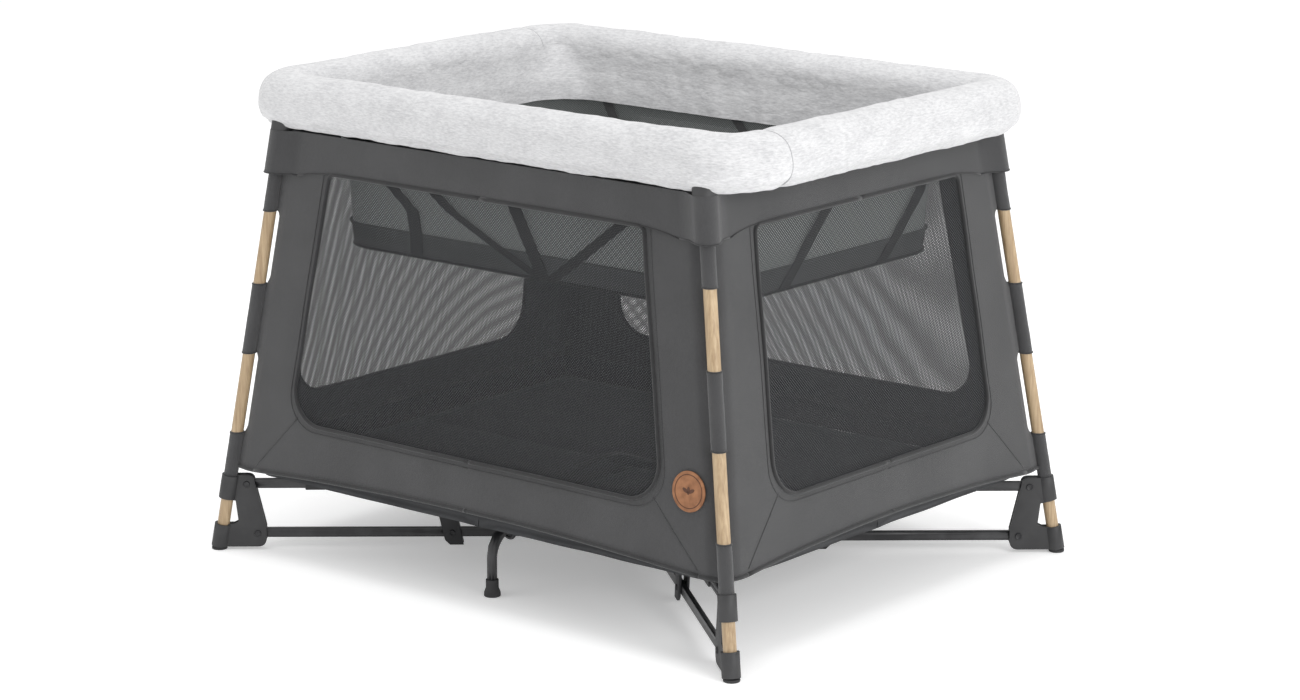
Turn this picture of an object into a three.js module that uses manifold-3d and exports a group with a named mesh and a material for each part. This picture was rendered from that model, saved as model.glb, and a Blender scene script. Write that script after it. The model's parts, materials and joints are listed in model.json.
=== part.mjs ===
// A folding playpen: four leaning timber-look legs, a crossed-arm floor frame that folds like an umbrella,
// hinged top rails under a padded rim, fabric walls with mesh windows, a padded floor and a hung bassinet.
// Millimetres, +Z up. The origin is on the floor under the middle; +X runs along the long side.
import * as THREE from 'three';
import { mergeVertices } from 'three/addons/utils/BufferGeometryUtils.js';
import Module from 'manifold-3d';

const wasm = await Module();
wasm.setup();

// ---- driving sizes -------------------------------------------------------------------------------------
const LEG_SPACING_X = 1040;
const LEG_SPACING_Y = 836;
const LEAN_X = 0.1488;
const LEAN_Y = 0.0908;
const LEG_RADIUS = 10;
const LEG_BOTTOM = 8;
const LEG_TOP_BELOW_RAIL = 62;

const GAP = 0.4;
const PIN_RADIUS = 4;
const EYE_RADIUS = 8;
const CHEEK = 4;
const LINK_THICKNESS = 8;

const FOOT_HEIGHT = 4.7;
const FOOT_RADIUS = 12.5;
const CLAMP_RADIUS = 14;
const CLAMP_LOW = [5, 42];
const CLAMP_HIGH = [85, 123];
const PLATE_HEEL = -6;
const PLATE_TOE = 62;
const PLATE_NOSE = { reach: 76, low: 20, high: 38 };
const PLATE_SHOULDER = { reach: 59, z: 112 };
const PLATE_TOP_REACH = 47;
const PLATE_TOP_START = 10;
const PLATE_WAIST = { top: 28, bottom: 32, end: 24, round: 4 };
const BRACKET_UPPER = { reach: 46, z: 108 };
const BRACKET_LOWER = { reach: 62, z: 27 };

const RAIL_Z = 712;
const RAIL_INSET = 28;
const RAIL_OUTSET = 19;
const RAIL_WIDTH = 12;
const RAIL_HEIGHT = 16;
const RAIL_NECK = 20;
const RAIL_TAPER = 12;
const RAIL_BRIDGE = 8;
const CASTING_BELOW_RAIL = 96;
const BOOT_RADIUS = 18;
const CHEEK_REACH = 8;
const CHEEK_HALF_HEIGHT = 9;

const ARM_HEIGHT = 15;
const LINK_FROM_HUB = 196;
const LINK_WIDTH = 30;
const LINK_ABOVE_PIVOT = 10;
const LINK_BOTTOM = 7;
const LINK_CHAMFER = 8;
const SPACER_RADIUS = 6;

const HUB_HALF_X = 60;
const HUB_HALF_Y = 36;
const HUB_BOTTOM = 16;
const HUB_ABOVE_PIVOT = 10;
const HUB_CHEEK_ROOT = 72;
const HUB_CHEEK_CHAMFER = { low: 6, high: 14 };
const STEM_RADIUS = 6;
const STEM_LENGTH = 50;
const GRIP_LENGTH = 76;
const GRIP_WIDTH = 20;
const GRIP_RISE = 34;
const GRIP_LIFT = 3;
const GRIP_BAR = 12;
const GRIP_SILL = 6;
const GRIP_TOP_BAR = 8;

const SUPPORT_RADIUS = 8;
const SUPPORT_OFFSET_X = 14;
const SUPPORT_PIVOT_Y = 72;
const SUPPORT_Z = 100;
const SUPPORT_FROM_FOOT_LINE = 87;
const SUPPORT_BEND = 42;
const SUPPORT_TONGUE = 14;
const SUPPORT_FOOT_HEIGHT = 27;
const SUPPORT_FOOT_RADIUS = 13;
const SUPPORT_FOOT_PAD = 6;
const SUPPORT_FOOT_WAIST = { radius: 10, z: 14 };

const WALL_THICKNESS = 2.5;
const WALL_BELOW_RAIL = 36;
const WALL_CORNER_BOTTOM = 140;
const WALL_MIDDLE_BOTTOM = 154;
const WALL_EDGE_INSET = 28;
const WINDOW_BELOW_RAIL = 87;
const WINDOW_BOTTOM = 228;
const WINDOW_FROM_LEG = { longTop: 112, longBottom: 116, shortTop: 106, shortBottom: 121 };
const WINDOW_RADIUS = { top: 14, bottom: 55 };
const WINDOW_SLANT = 3;
const NET_THICKNESS = 1.5;
const NET_GAP = 0.5;

const RIM_PAST_RAIL_X = 27;
const RIM_INSIDE_RAIL_Y = 15;
const RIM_HALF_WIDTH = 45;
const RIM_BELOW_RAIL = 32;
const RIM_ABOVE_RAIL = 55;
const RIM_CORNER = 45;
const RIM_ROUND = 30;
const RIM_SEAM_FROM_END = 86;
const RIM_CHANNEL = 12;
const RIM_CHANNEL_ABOVE_RAIL = 14;
const RIM_POCKET = { inX: 60, outX: 18, inY: 42, outY: 25 };

const FLOOR_ABOVE_HUB = 3;
const FLOOR_THICKNESS = 24;
const FLOOR_GAP_TO_WALL = 28;
const FLOOR_CORNER = 40;
const FLOOR_HANDLE_X = 46;
const FLOOR_HANDLE_Y = 18;
const FLOOR_SPLIT = 0.5;

const BASSINET_INSIDE_RIM = { x: 52, y: 49 };
const BASSINET_BELOW_RAIL = 22;
const BASSINET_DEPTH = 195;
const BASSINET_TAPER = { x: 34, y: 2 };
const BASSINET_CORNER = 68;
const BASSINET_SKIN = 3;
const BASSINET_PAD_HEIGHT = 22;
const BASSINET_PAD_GAP = 6;

const FINE = 20;
const COARSE = 12;
const OVERRUN = 2;
const FAR = 2000;

// ---- derived places ------------------------------------------------------------------------------------
const FOOT_X = LEG_SPACING_X / 2;
const FOOT_Y = LEG_SPACING_Y / 2;
const legX = (z) => FOOT_X - LEAN_X * z;
const legY = (z) => FOOT_Y - LEAN_Y * z;
const LEG_TOP = RAIL_Z - LEG_TOP_BELOW_RAIL;
const CASTING_BOTTOM = RAIL_Z - CASTING_BELOW_RAIL;
const RAIL_HALF_X = legX(RAIL_Z) - RAIL_INSET;
const RAIL_HALF_Y = legY(RAIL_Z) - RAIL_INSET;
const ARM_LENGTH = Math.hypot(RAIL_HALF_X, RAIL_HALF_Y);
const ARM_DIRECTION = new THREE.Vector2(RAIL_HALF_X / ARM_LENGTH, RAIL_HALF_Y / ARM_LENGTH);
const HUB_STEP = BRACKET_LOWER.reach - BRACKET_UPPER.reach;
const HUB_PIVOT = {
  x: FOOT_X - ARM_DIRECTION.x * BRACKET_UPPER.reach - RAIL_HALF_X,
  y: FOOT_Y - ARM_DIRECTION.y * BRACKET_UPPER.reach - RAIL_HALF_Y,
};
const SLOT = LINK_THICKNESS / 2 + GAP;
const PIN_HALF = SLOT + CHEEK / 2;
const LINK_TOP = BRACKET_UPPER.z + LINK_ABOVE_PIVOT;
const HUB_TOP = BRACKET_UPPER.z + HUB_ABOVE_PIVOT;
const GRIP_TOP = HUB_TOP + GRIP_RISE;
const SUPPORT_REACH = FOOT_Y - SUPPORT_FROM_FOOT_LINE;
const WALL_TOP = RAIL_Z - WALL_BELOW_RAIL;
const WINDOW_TOP = RAIL_Z - WINDOW_BELOW_RAIL;
const WINDOW_LONG = {
  top: legX(WINDOW_TOP) - WINDOW_FROM_LEG.longTop,
  bottom: legX(WINDOW_BOTTOM) - WINDOW_FROM_LEG.longBottom,
};
const WINDOW_SHORT = {
  top: legY(WINDOW_TOP) - WINDOW_FROM_LEG.shortTop,
  bottom: legY(WINDOW_BOTTOM) - WINDOW_FROM_LEG.shortBottom,
};
const RIM_HALF_X = legX(RAIL_Z) + RAIL_OUTSET + RIM_PAST_RAIL_X;
const RIM_HALF_Y = legY(RAIL_Z) - RIM_INSIDE_RAIL_Y;
const RIM_BOTTOM = RAIL_Z - RIM_BELOW_RAIL;
const RIM_TOP = RAIL_Z + RIM_ABOVE_RAIL;
const RIM_SEAM_Y = RIM_HALF_Y - RIM_SEAM_FROM_END;
const RIM_CHANNEL_TOP = RAIL_Z + RIM_CHANNEL_ABOVE_RAIL;
const FLOOR_BOTTOM = HUB_TOP + FLOOR_ABOVE_HUB;
const FLOOR_TOP = FLOOR_BOTTOM + FLOOR_THICKNESS;
const BASSINET_TOP = {
  x: RIM_HALF_X - BASSINET_INSIDE_RIM.x,
  y: RIM_HALF_Y - BASSINET_INSIDE_RIM.y,
  z: RAIL_Z - BASSINET_BELOW_RAIL,
};
const BASSINET_BOTTOM = {
  x: BASSINET_TOP.x - BASSINET_TAPER.x,
  y: BASSINET_TOP.y - BASSINET_TAPER.y,
  z: BASSINET_TOP.z - BASSINET_DEPTH,
};

const CORNERS = [
  { name: 'front_left', sx: -1, sy: -1 },
  { name: 'front_right', sx: 1, sy: -1 },
  { name: 'rear_right', sx: 1, sy: 1 },
  { name: 'rear_left', sx: -1, sy: 1 },
];
const LONG_SIDES = [{ name: 'front', sy: -1 }, { name: 'rear', sy: 1 }];
const SHORT_SIDES = [{ name: 'left', sx: -1 }, { name: 'right', sx: 1 }];

// ---- finishes ------------------------------------------------------------------------------------------
function finish(color, roughness, metalness = 0) {
  return new THREE.MeshStandardMaterial({ color, roughness, metalness });
}

const FINISH = {
  timber: () => finish(0xc2b195, 0.55),
  charcoalPlastic: () => finish(0x47484a, 0.6),
  blackPaint: () => finish(0x26262a, 0.4, 0.5),
  rubber: () => finish(0x303030, 0.85),
  charcoalFabric: () => finish(0x555658, 0.9),
  net: () => finish(0x3c3d3f, 0.9),
  melange: () => finish(0xd6d6d8, 0.95),
  floorFabric: () => finish(0x3a3b3d, 0.9),
  bassinetFabric: () => finish(0x6c716f, 0.9),
};

// ---- solid helpers -------------------------------------------------------------------------------------
function toSolid(geometry) {
  const bare = geometry.clone();
  bare.deleteAttribute('normal');
  bare.deleteAttribute('uv');
  const merged = mergeVertices(bare, 1e-3);
  const mesh = new wasm.Mesh({
    numProp: 3,
    vertProperties: new Float32Array(merged.attributes.position.array),
    triVerts: new Uint32Array(merged.index.array),
  });
  return new wasm.Manifold(mesh);
}

function fromSolid(solid) {
  const mesh = solid.getMesh();
  const geometry = new THREE.BufferGeometry();
  geometry.setAttribute('position', new THREE.BufferAttribute(new Float32Array(mesh.vertProperties), 3));
  geometry.setIndex(new THREE.BufferAttribute(new Uint32Array(mesh.triVerts), 1));
  return geometry;
}

const join = (...parts) => fromSolid(parts.map(toSolid).reduce((all, next) => all.add(next)));
const overlap = (body, tool) => fromSolid(toSolid(body).intersect(toSolid(tool)));

function cut(body, ...tools) {
  return fromSolid(tools.map(toSolid).reduce((all, next) => all.subtract(next), toSolid(body)));
}

const inOrder = (a, b) => (a < b ? [a, b] : [b, a]);

function box(low, high) {
  const size = high.map((value, i) => value - low[i]);
  const geometry = new THREE.BoxGeometry(...size);
  return geometry.translate(...low.map((value, i) => value + size[i] / 2));
}

function rod(from, to, radius, segments = COARSE) {
  const start = new THREE.Vector3(...from);
  const along = new THREE.Vector3(...to).sub(start);
  const geometry = new THREE.CylinderGeometry(radius, radius, along.length(), segments);
  geometry.translate(0, along.length() / 2, 0);
  const turn = new THREE.Quaternion().setFromUnitVectors(new THREE.Vector3(0, 1, 0), along.normalize());
  return geometry.applyQuaternion(turn).translate(...from);
}

// A plate drawn in (u, z), thick along the plate's own normal, with u running along `direction` in plan.
function plate(shape, fromSide, toSide, direction, origin = [0, 0, 0]) {
  const options = { depth: toSide - fromSide, bevelEnabled: false, curveSegments: 6 };
  const geometry = new THREE.ExtrudeGeometry(shape, options);
  const u = new THREE.Vector3(direction.x, direction.y, 0);
  const up = new THREE.Vector3(0, 0, 1);
  const side = new THREE.Vector3().crossVectors(u, up);
  geometry.translate(0, 0, fromSide);
  geometry.applyMatrix4(new THREE.Matrix4().makeBasis(u, up, side));
  return geometry.translate(...origin);
}

// Two equal plates that leave the slot for a link between them.
function cheekPair(shape, direction, origin) {
  return [-1, 1].map((side) => {
    const [from, to] = inOrder(side * SLOT, side * (SLOT + CHEEK));
    return plate(shape, from, to, direction, origin);
  });
}

const outline = (points) => new THREE.Shape(points.map(([u, z]) => new THREE.Vector2(u, z)));

function mirrored(geometry, sx, sy) {
  const copy = geometry.clone().applyMatrix4(new THREE.Matrix4().makeScale(sx, sy, 1));
  if (sx * sy < 0) {
    const index = copy.index.array;
    for (let i = 0; i < index.length; i += 3) {
      [index[i + 1], index[i + 2]] = [index[i + 2], index[i + 1]];
    }
  }
  return copy;
}

function indexed(geometry) {
  return geometry.index ? geometry : mergeVertices(geometry, 1e-3);
}

const playpen = new THREE.Group();

function addPiece(name, geometry, material, position = [0, 0, 0]) {
  const mesh = new THREE.Mesh(indexed(geometry), material());
  mesh.name = name;
  mesh.position.set(...position);
  playpen.add(mesh);
}

// ---- leg pieces, drawn for the corner at +X +Y with the foot at the origin --------------------------------
const onLeg = (z) => [-LEAN_X * z, -LEAN_Y * z, z];

function legTube() {
  return rod(onLeg(LEG_BOTTOM), onLeg(LEG_TOP), LEG_RADIUS, FINE);
}

function rubberFoot() {
  const profile = [
    [0, 0], [FOOT_RADIUS - 1, 0], [FOOT_RADIUS, 1], [FOOT_RADIUS, FOOT_HEIGHT], [0, FOOT_HEIGHT],
  ];
  const geometry = new THREE.LatheGeometry(profile.map(([r, z]) => new THREE.Vector2(r, z)), FINE);
  return geometry.rotateX(Math.PI / 2);
}

function bracketOutline() {
  const [low, waistLow] = CLAMP_LOW;
  const [waistHigh, high] = CLAMP_HIGH;
  const shape = new THREE.Shape();
  shape.moveTo(PLATE_HEEL, low);
  shape.lineTo(PLATE_TOE, low);
  shape.quadraticCurveTo(PLATE_NOSE.reach, low, PLATE_NOSE.reach, PLATE_NOSE.low);
  shape.lineTo(PLATE_NOSE.reach, PLATE_NOSE.high);
  shape.lineTo(PLATE_SHOULDER.reach, PLATE_SHOULDER.z);
  shape.quadraticCurveTo(PLATE_SHOULDER.reach, high, PLATE_TOP_REACH, high);
  shape.lineTo(PLATE_TOP_START, high);
  shape.lineTo(PLATE_TOP_START, waistHigh);
  shape.lineTo(PLATE_WAIST.top, waistHigh - PLATE_WAIST.round);
  shape.lineTo(PLATE_WAIST.bottom, waistLow + PLATE_WAIST.round);
  shape.lineTo(PLATE_WAIST.end, waistLow);
  shape.lineTo(PLATE_HEEL, waistLow);
  return shape;
}

function crossPin(reach, z, radius, half) {
  const centre = [-ARM_DIRECTION.x * reach, -ARM_DIRECTION.y * reach];
  const side = [ARM_DIRECTION.y * half, -ARM_DIRECTION.x * half];
  const start = [centre[0] - side[0], centre[1] - side[1], z];
  const end = [centre[0] + side[0], centre[1] + side[1], z];
  return rod(start, end, radius);
}

function footBracket() {
  const inward = new THREE.Vector2(-ARM_DIRECTION.x, -ARM_DIRECTION.y);
  const cheeks = cheekPair(bracketOutline(), inward);
  const clamp = ([low, high]) => rod(onLeg(low), onLeg(high), CLAMP_RADIUS, FINE);
  const clamps = [CLAMP_LOW, CLAMP_HIGH].map(clamp);
  const pins = [BRACKET_UPPER, BRACKET_LOWER].map(({ reach, z }) => crossPin(reach, z, PIN_RADIUS, PIN_HALF));
  const floorCut = box([-FAR, -FAR, -FAR], [FAR, FAR, CLAMP_LOW[0]]);
  const bore = rod(onLeg(-CLAMP_RADIUS), onLeg(CLAMP_HIGH[1] + CLAMP_RADIUS), LEG_RADIUS + GAP, FINE);
  const shell = cut(join(...cheeks, ...clamps), bore, floorCut);
  return join(shell, ...pins);
}

// The corner casting caps the leg and holds a hinge fork for each of the two rails that meet there.
function cornerCasting() {
  const top = RAIL_Z + CHEEK_HALF_HEIGHT;
  const [axisX, axisY] = onLeg(RAIL_Z);
  const half = SLOT + CHEEK;
  const boot = rod(onLeg(CASTING_BOTTOM), onLeg(top), BOOT_RADIUS, FINE);
  const socket = rod(onLeg(CASTING_BOTTOM - BOOT_RADIUS), onLeg(LEG_TOP + OVERRUN), LEG_RADIUS + GAP, FINE);
  const low = RAIL_Z - CHEEK_HALF_HEIGHT;
  const pivotX = axisX - RAIL_INSET;
  const pivotY = axisY - RAIL_INSET;
  const sideX = axisX + RAIL_OUTSET;
  const longFork = box([pivotX - CHEEK_REACH, axisY - half, low], [axisX, axisY + half, top]);
  const shortFork = box([sideX - half, pivotY - CHEEK_REACH, low], [sideX + half, axisY + half, top]);
  const start = 2 * CHEEK_REACH;
  const end = EYE_RADIUS + 1;
  const longSlot = box([pivotX - start, axisY - SLOT, low - 1], [pivotX + end, axisY + SLOT, top + 1]);
  const shortSlot = box([sideX - SLOT, pivotY - start, low - 1], [sideX + SLOT, pivotY + end, top + 1]);
  const lid = box([-FAR, -FAR, top], [FAR, FAR, FAR]);
  const body = cut(join(boot, longFork, shortFork), socket, longSlot, shortSlot, lid);
  const longPin = rod([pivotX, axisY - PIN_HALF, RAIL_Z], [pivotX, axisY + PIN_HALF, RAIL_Z], PIN_RADIUS);
  const shortPin = rod([sideX - PIN_HALF, pivotY, RAIL_Z], [sideX + PIN_HALF, pivotY, RAIL_Z], PIN_RADIUS);
  return join(body, longPin, shortPin);
}

// ---- top rails: each side is two halves that hinge at the corner and at the middle ----------------------
// Drawn in (u, z) from the corner pivot at u = 0 to the middle pivot at u = length.
function halfRail(length, direction, hasFork) {
  const half = RAIL_WIDTH / 2;
  const neckEnd = length - RAIL_NECK;
  const bar = outline([
    [RAIL_NECK, 0], [RAIL_NECK, -EYE_RADIUS], [RAIL_NECK + RAIL_TAPER, -RAIL_HEIGHT],
    [neckEnd - RAIL_TAPER, -RAIL_HEIGHT], [neckEnd, -EYE_RADIUS], [neckEnd, 0],
  ]);
  const strip = (from, to) => outline([[from, 0], [from, -EYE_RADIUS], [to, -EYE_RADIUS], [to, 0]]);
  const tongue = (from, to) => plate(strip(from, to), -LINK_THICKNESS / 2, LINK_THICKNESS / 2, direction);
  const cross = (u, radius, reach) => {
    const side = [direction.y * reach, -direction.x * reach];
    const at = [direction.x * u, direction.y * u];
    return rod([at[0] - side[0], at[1] - side[1], 0], [at[0] + side[0], at[1] + side[1], 0], radius);
  };
  const body = plate(bar, -half, half, direction);
  const solids = [body, tongue(0, RAIL_NECK + OVERRUN), cross(0, EYE_RADIUS, LINK_THICKNESS / 2)];
  const holes = [cross(0, PIN_RADIUS + GAP, RAIL_NECK)];
  if (!hasFork) {
    solids.push(tongue(neckEnd - OVERRUN, length), cross(length, EYE_RADIUS, LINK_THICKNESS / 2));
    holes.push(cross(length, PIN_RADIUS + GAP, RAIL_NECK));
    return cut(join(...solids), ...holes);
  }
  const chord = EYE_RADIUS * Math.SQRT1_2;
  const ear = outline([
    [neckEnd - OVERRUN, 0], [neckEnd - OVERRUN, -EYE_RADIUS], [length, -EYE_RADIUS],
    [length + chord, -chord], [length + EYE_RADIUS, 0], [length + chord, chord],
    [length, EYE_RADIUS], [length - EYE_RADIUS, chord],
  ]);
  const bridge = plate(strip(neckEnd - RAIL_BRIDGE, neckEnd), -SLOT - CHEEK, SLOT + CHEEK, direction);
  solids.push(...cheekPair(ear, direction), bridge);
  return join(cut(join(...solids), ...holes), cross(length, PIN_RADIUS, PIN_HALF));
}

// ---- floor frame arms, drawn from the hub pivot at the origin -------------------------------------------
function armBar() {
  const half = ARM_HEIGHT / 2;
  const bar = outline([[0, -half], [ARM_LENGTH, -half], [ARM_LENGTH, half], [0, half]]);
  const body = plate(bar, -LINK_THICKNESS / 2, LINK_THICKNESS / 2, ARM_DIRECTION);
  const eyes = [0, ARM_LENGTH].map((u) => crossPin(-u, 0, EYE_RADIUS, LINK_THICKNESS / 2));
  const holes = [0, LINK_FROM_HUB, ARM_LENGTH].map((u) => crossPin(-u, 0, PIN_RADIUS + GAP, LINK_THICKNESS));
  return cut(join(body, ...eyes), ...holes);
}

// Two plates and a spacer that keep the two arms the same distance apart, drawn on the lower pivot.
function armLink() {
  const rise = BRACKET_UPPER.z - BRACKET_LOWER.z;
  const low = LINK_BOTTOM - BRACKET_LOWER.z;
  const high = LINK_TOP - BRACKET_LOWER.z;
  const half = LINK_WIDTH / 2;
  const lean = HUB_STEP / rise;
  const left = (z) => z * lean - half;
  const right = (z) => z * lean + half;
  const shape = outline([
    [left(low), low], [right(low) - LINK_CHAMFER, low], [right(low), low + LINK_CHAMFER],
    [right(high), high - LINK_CHAMFER], [right(high) - LINK_CHAMFER, high],
    [left(high) + LINK_CHAMFER, high], [left(high), high - LINK_CHAMFER],
  ]);
  const plates = cheekPair(shape, ARM_DIRECTION);
  const pins = [
    crossPin(0, 0, PIN_RADIUS, PIN_HALF),
    crossPin(-HUB_STEP, rise, PIN_RADIUS, PIN_HALF),
    crossPin(-HUB_STEP / 2, rise / 2, SPACER_RADIUS, PIN_HALF),
  ];
  return join(...plates, ...pins);
}

// ---- hub ------------------------------------------------------------------------------------------------
function hubCheeks({ sx, sy }) {
  const edge = EYE_RADIUS + OVERRUN;
  const shape = outline([
    [-HUB_CHEEK_ROOT, HUB_BOTTOM], [OVERRUN - HUB_STEP, HUB_BOTTOM],
    [edge - HUB_STEP, HUB_BOTTOM + HUB_CHEEK_CHAMFER.low],
    [edge, HUB_TOP - HUB_CHEEK_CHAMFER.high], [EYE_RADIUS - OVERRUN, HUB_TOP], [-HUB_CHEEK_ROOT, HUB_TOP],
  ]);
  const parts = cheekPair(shape, ARM_DIRECTION, [HUB_PIVOT.x, HUB_PIVOT.y, 0]);
  const pinAt = (step, z) => crossPin(step, z, PIN_RADIUS, PIN_HALF).translate(HUB_PIVOT.x, HUB_PIVOT.y, 0);
  const whole = join(...parts, pinAt(0, BRACKET_UPPER.z), pinAt(HUB_STEP, BRACKET_LOWER.z));
  return mirrored(whole, sx, sy);
}

function supportForkOnHub(sy) {
  const x = sy * SUPPORT_OFFSET_X;
  const reach = SUPPORT_PIVOT_Y + CHEEK_REACH;
  const cheeks = [-1, 1].map((side) => {
    const [from, to] = inOrder(x + side * SLOT, x + side * (SLOT + CHEEK));
    const [near, far] = inOrder(sy * (HUB_HALF_Y - OVERRUN), sy * reach);
    return box([from, near, SUPPORT_Z - CHEEK_REACH], [to, far, SUPPORT_Z + CHEEK_REACH]);
  });
  const y = sy * SUPPORT_PIVOT_Y;
  const pin = rod([x - PIN_HALF, y, SUPPORT_Z], [x + PIN_HALF, y, SUPPORT_Z], PIN_RADIUS);
  return join(...cheeks, pin);
}

function hub() {
  const core = box([-HUB_HALF_X, -HUB_HALF_Y, HUB_BOTTOM], [HUB_HALF_X, HUB_HALF_Y, HUB_TOP]);
  const floor = HUB_TOP - STEM_LENGTH - PIN_RADIUS;
  const bore = rod([0, 0, floor], [0, 0, HUB_TOP + OVERRUN], STEM_RADIUS + GAP, FINE);
  return join(cut(core, bore), ...CORNERS.map(hubCheeks), supportForkOnHub(-1), supportForkOnHub(1));
}

function hubHandle() {
  const base = HUB_TOP + GRIP_LIFT;
  const stem = rod([0, 0, HUB_TOP - STEM_LENGTH], [0, 0, base + OVERRUN], STEM_RADIUS, FINE);
  const grip = box([-GRIP_LENGTH / 2, -GRIP_WIDTH / 2, base], [GRIP_LENGTH / 2, GRIP_WIDTH / 2, GRIP_TOP]);
  const inner = GRIP_LENGTH / 2 - GRIP_BAR;
  const window = box([-inner, -GRIP_WIDTH, base + GRIP_SILL], [inner, GRIP_WIDTH, GRIP_TOP - GRIP_TOP_BAR]);
  return join(stem, cut(grip, window));
}

// ---- middle supports ------------------------------------------------------------------------------------
function supportTube(sy) {
  const x = sy * SUPPORT_OFFSET_X;
  const start = SUPPORT_PIVOT_Y + SUPPORT_TONGUE;
  const path = new THREE.CurvePath();
  const at = (y, z) => new THREE.Vector3(x, sy * y, z);
  const bendStart = SUPPORT_REACH - SUPPORT_BEND;
  path.add(new THREE.LineCurve3(at(start, SUPPORT_Z), at(bendStart, SUPPORT_Z)));
  const bendEnd = at(SUPPORT_REACH, SUPPORT_Z - SUPPORT_BEND);
  path.add(new THREE.QuadraticBezierCurve3(at(bendStart, SUPPORT_Z), at(SUPPORT_REACH, SUPPORT_Z), bendEnd));
  path.add(new THREE.LineCurve3(bendEnd, at(SUPPORT_REACH, SUPPORT_FOOT_HEIGHT + GAP)));
  const section = new THREE.Shape();
  section.absarc(0, 0, SUPPORT_RADIUS, 0, 2 * Math.PI);
  const tube = new THREE.ExtrudeGeometry(section, { extrudePath: path, steps: 18, curveSegments: 5 });
  const [near, far] = inOrder(sy * SUPPORT_PIVOT_Y, sy * (start + OVERRUN));
  const half = LINK_THICKNESS / 2;
  const eyeRadius = EYE_RADIUS - 1;
  const tongue = box([x - half, near, SUPPORT_Z - eyeRadius], [x + half, far, SUPPORT_Z + eyeRadius]);
  const y = sy * SUPPORT_PIVOT_Y;
  const eye = rod([x - half, y, SUPPORT_Z], [x + half, y, SUPPORT_Z], eyeRadius);
  const hole = rod([x - EYE_RADIUS, y, SUPPORT_Z], [x + EYE_RADIUS, y, SUPPORT_Z], PIN_RADIUS + GAP);
  return cut(join(tube, tongue, eye), hole);
}

function supportFoot() {
  const profile = [
    [0, 0], [SUPPORT_FOOT_RADIUS - 1, 0], [SUPPORT_FOOT_RADIUS, 1], [SUPPORT_FOOT_RADIUS, SUPPORT_FOOT_PAD],
    [SUPPORT_FOOT_WAIST.radius, SUPPORT_FOOT_WAIST.z], [SUPPORT_FOOT_WAIST.radius, SUPPORT_FOOT_HEIGHT],
    [0, SUPPORT_FOOT_HEIGHT],
  ];
  const geometry = new THREE.LatheGeometry(profile.map(([r, z]) => new THREE.Vector2(r, z)), FINE);
  return geometry.rotateX(Math.PI / 2);
}

// ---- walls: drawn upright in (u, z), then sheared so that they lean with the legs -----------------------
function windowShape(window, radius, inset) {
  const top = WINDOW_TOP - inset;
  const bottom = WINDOW_BOTTOM + inset;
  const shape = new THREE.Shape();
  const wide = window.bottom - inset;
  const narrow = window.top - inset;
  const slanted = wide - WINDOW_SLANT;
  shape.moveTo(0, bottom);
  shape.lineTo(wide - radius.bottom, bottom);
  shape.quadraticCurveTo(wide, bottom, slanted, bottom + radius.bottom);
  shape.lineTo(narrow, top - radius.top);
  shape.quadraticCurveTo(narrow, top, narrow - radius.top, top);
  shape.lineTo(radius.top - narrow, top);
  shape.quadraticCurveTo(-narrow, top, -narrow, top - radius.top);
  shape.lineTo(-slanted, bottom + radius.bottom);
  shape.quadraticCurveTo(-wide, bottom, radius.bottom - wide, bottom);
  return shape;
}

function wallShape(halfAt) {
  const shape = new THREE.Shape();
  const low = halfAt(WALL_CORNER_BOTTOM) - WALL_EDGE_INSET;
  const high = halfAt(WALL_TOP) - WALL_EDGE_INSET;
  shape.moveTo(-low, WALL_CORNER_BOTTOM);
  shape.quadraticCurveTo(0, 2 * WALL_MIDDLE_BOTTOM - WALL_CORNER_BOTTOM, low, WALL_CORNER_BOTTOM);
  shape.lineTo(high, WALL_TOP);
  shape.lineTo(-high, WALL_TOP);
  return shape;
}

function leaningPanel(shape, thickness, along, sign) {
  const options = { depth: thickness, bevelEnabled: false, curveSegments: 12 };
  const geometry = new THREE.ExtrudeGeometry(shape, options);
  const isLong = along === 'x';
  const foot = isLong ? FOOT_Y : FOOT_X;
  const lean = isLong ? LEAN_Y : LEAN_X;
  const half = thickness / 2;
  const shift = isLong ? [-1, sign * foot + half] : [1, sign * foot - half];
  const across = [0, -lean * sign, ...shift];
  const lengthways = [1, 0, 0, 0];
  const rows = isLong ? [lengthways, across] : [across, lengthways];
  const turn = new THREE.Matrix4().set(...rows.flat(), 0, 1, 0, 0, 0, 0, 0, 1);
  return geometry.applyMatrix4(turn);
}

function wall(along, sign) {
  const shape = wallShape(along === 'x' ? legX : legY);
  shape.holes.push(windowShape(along === 'x' ? WINDOW_LONG : WINDOW_SHORT, WINDOW_RADIUS, 0));
  return leaningPanel(shape, WALL_THICKNESS, along, sign);
}

function net(along, sign) {
  const window = along === 'x' ? WINDOW_LONG : WINDOW_SHORT;
  return leaningPanel(windowShape(window, WINDOW_RADIUS, NET_GAP), NET_THICKNESS, along, sign);
}

// ---- padded rim -----------------------------------------------------------------------------------------
function roundedRectangle(halfX, halfY, radius, into = new THREE.Shape()) {
  const r = Math.min(radius, halfX - 1, halfY - 1);
  into.moveTo(halfX - r, -halfY);
  into.absarc(halfX - r, r - halfY, r, -Math.PI / 2, 0);
  into.absarc(halfX - r, halfY - r, r, 0, Math.PI / 2);
  into.absarc(r - halfX, halfY - r, r, Math.PI / 2, Math.PI);
  into.absarc(r - halfX, r - halfY, r, Math.PI, 1.5 * Math.PI);
  return into;
}

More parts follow.
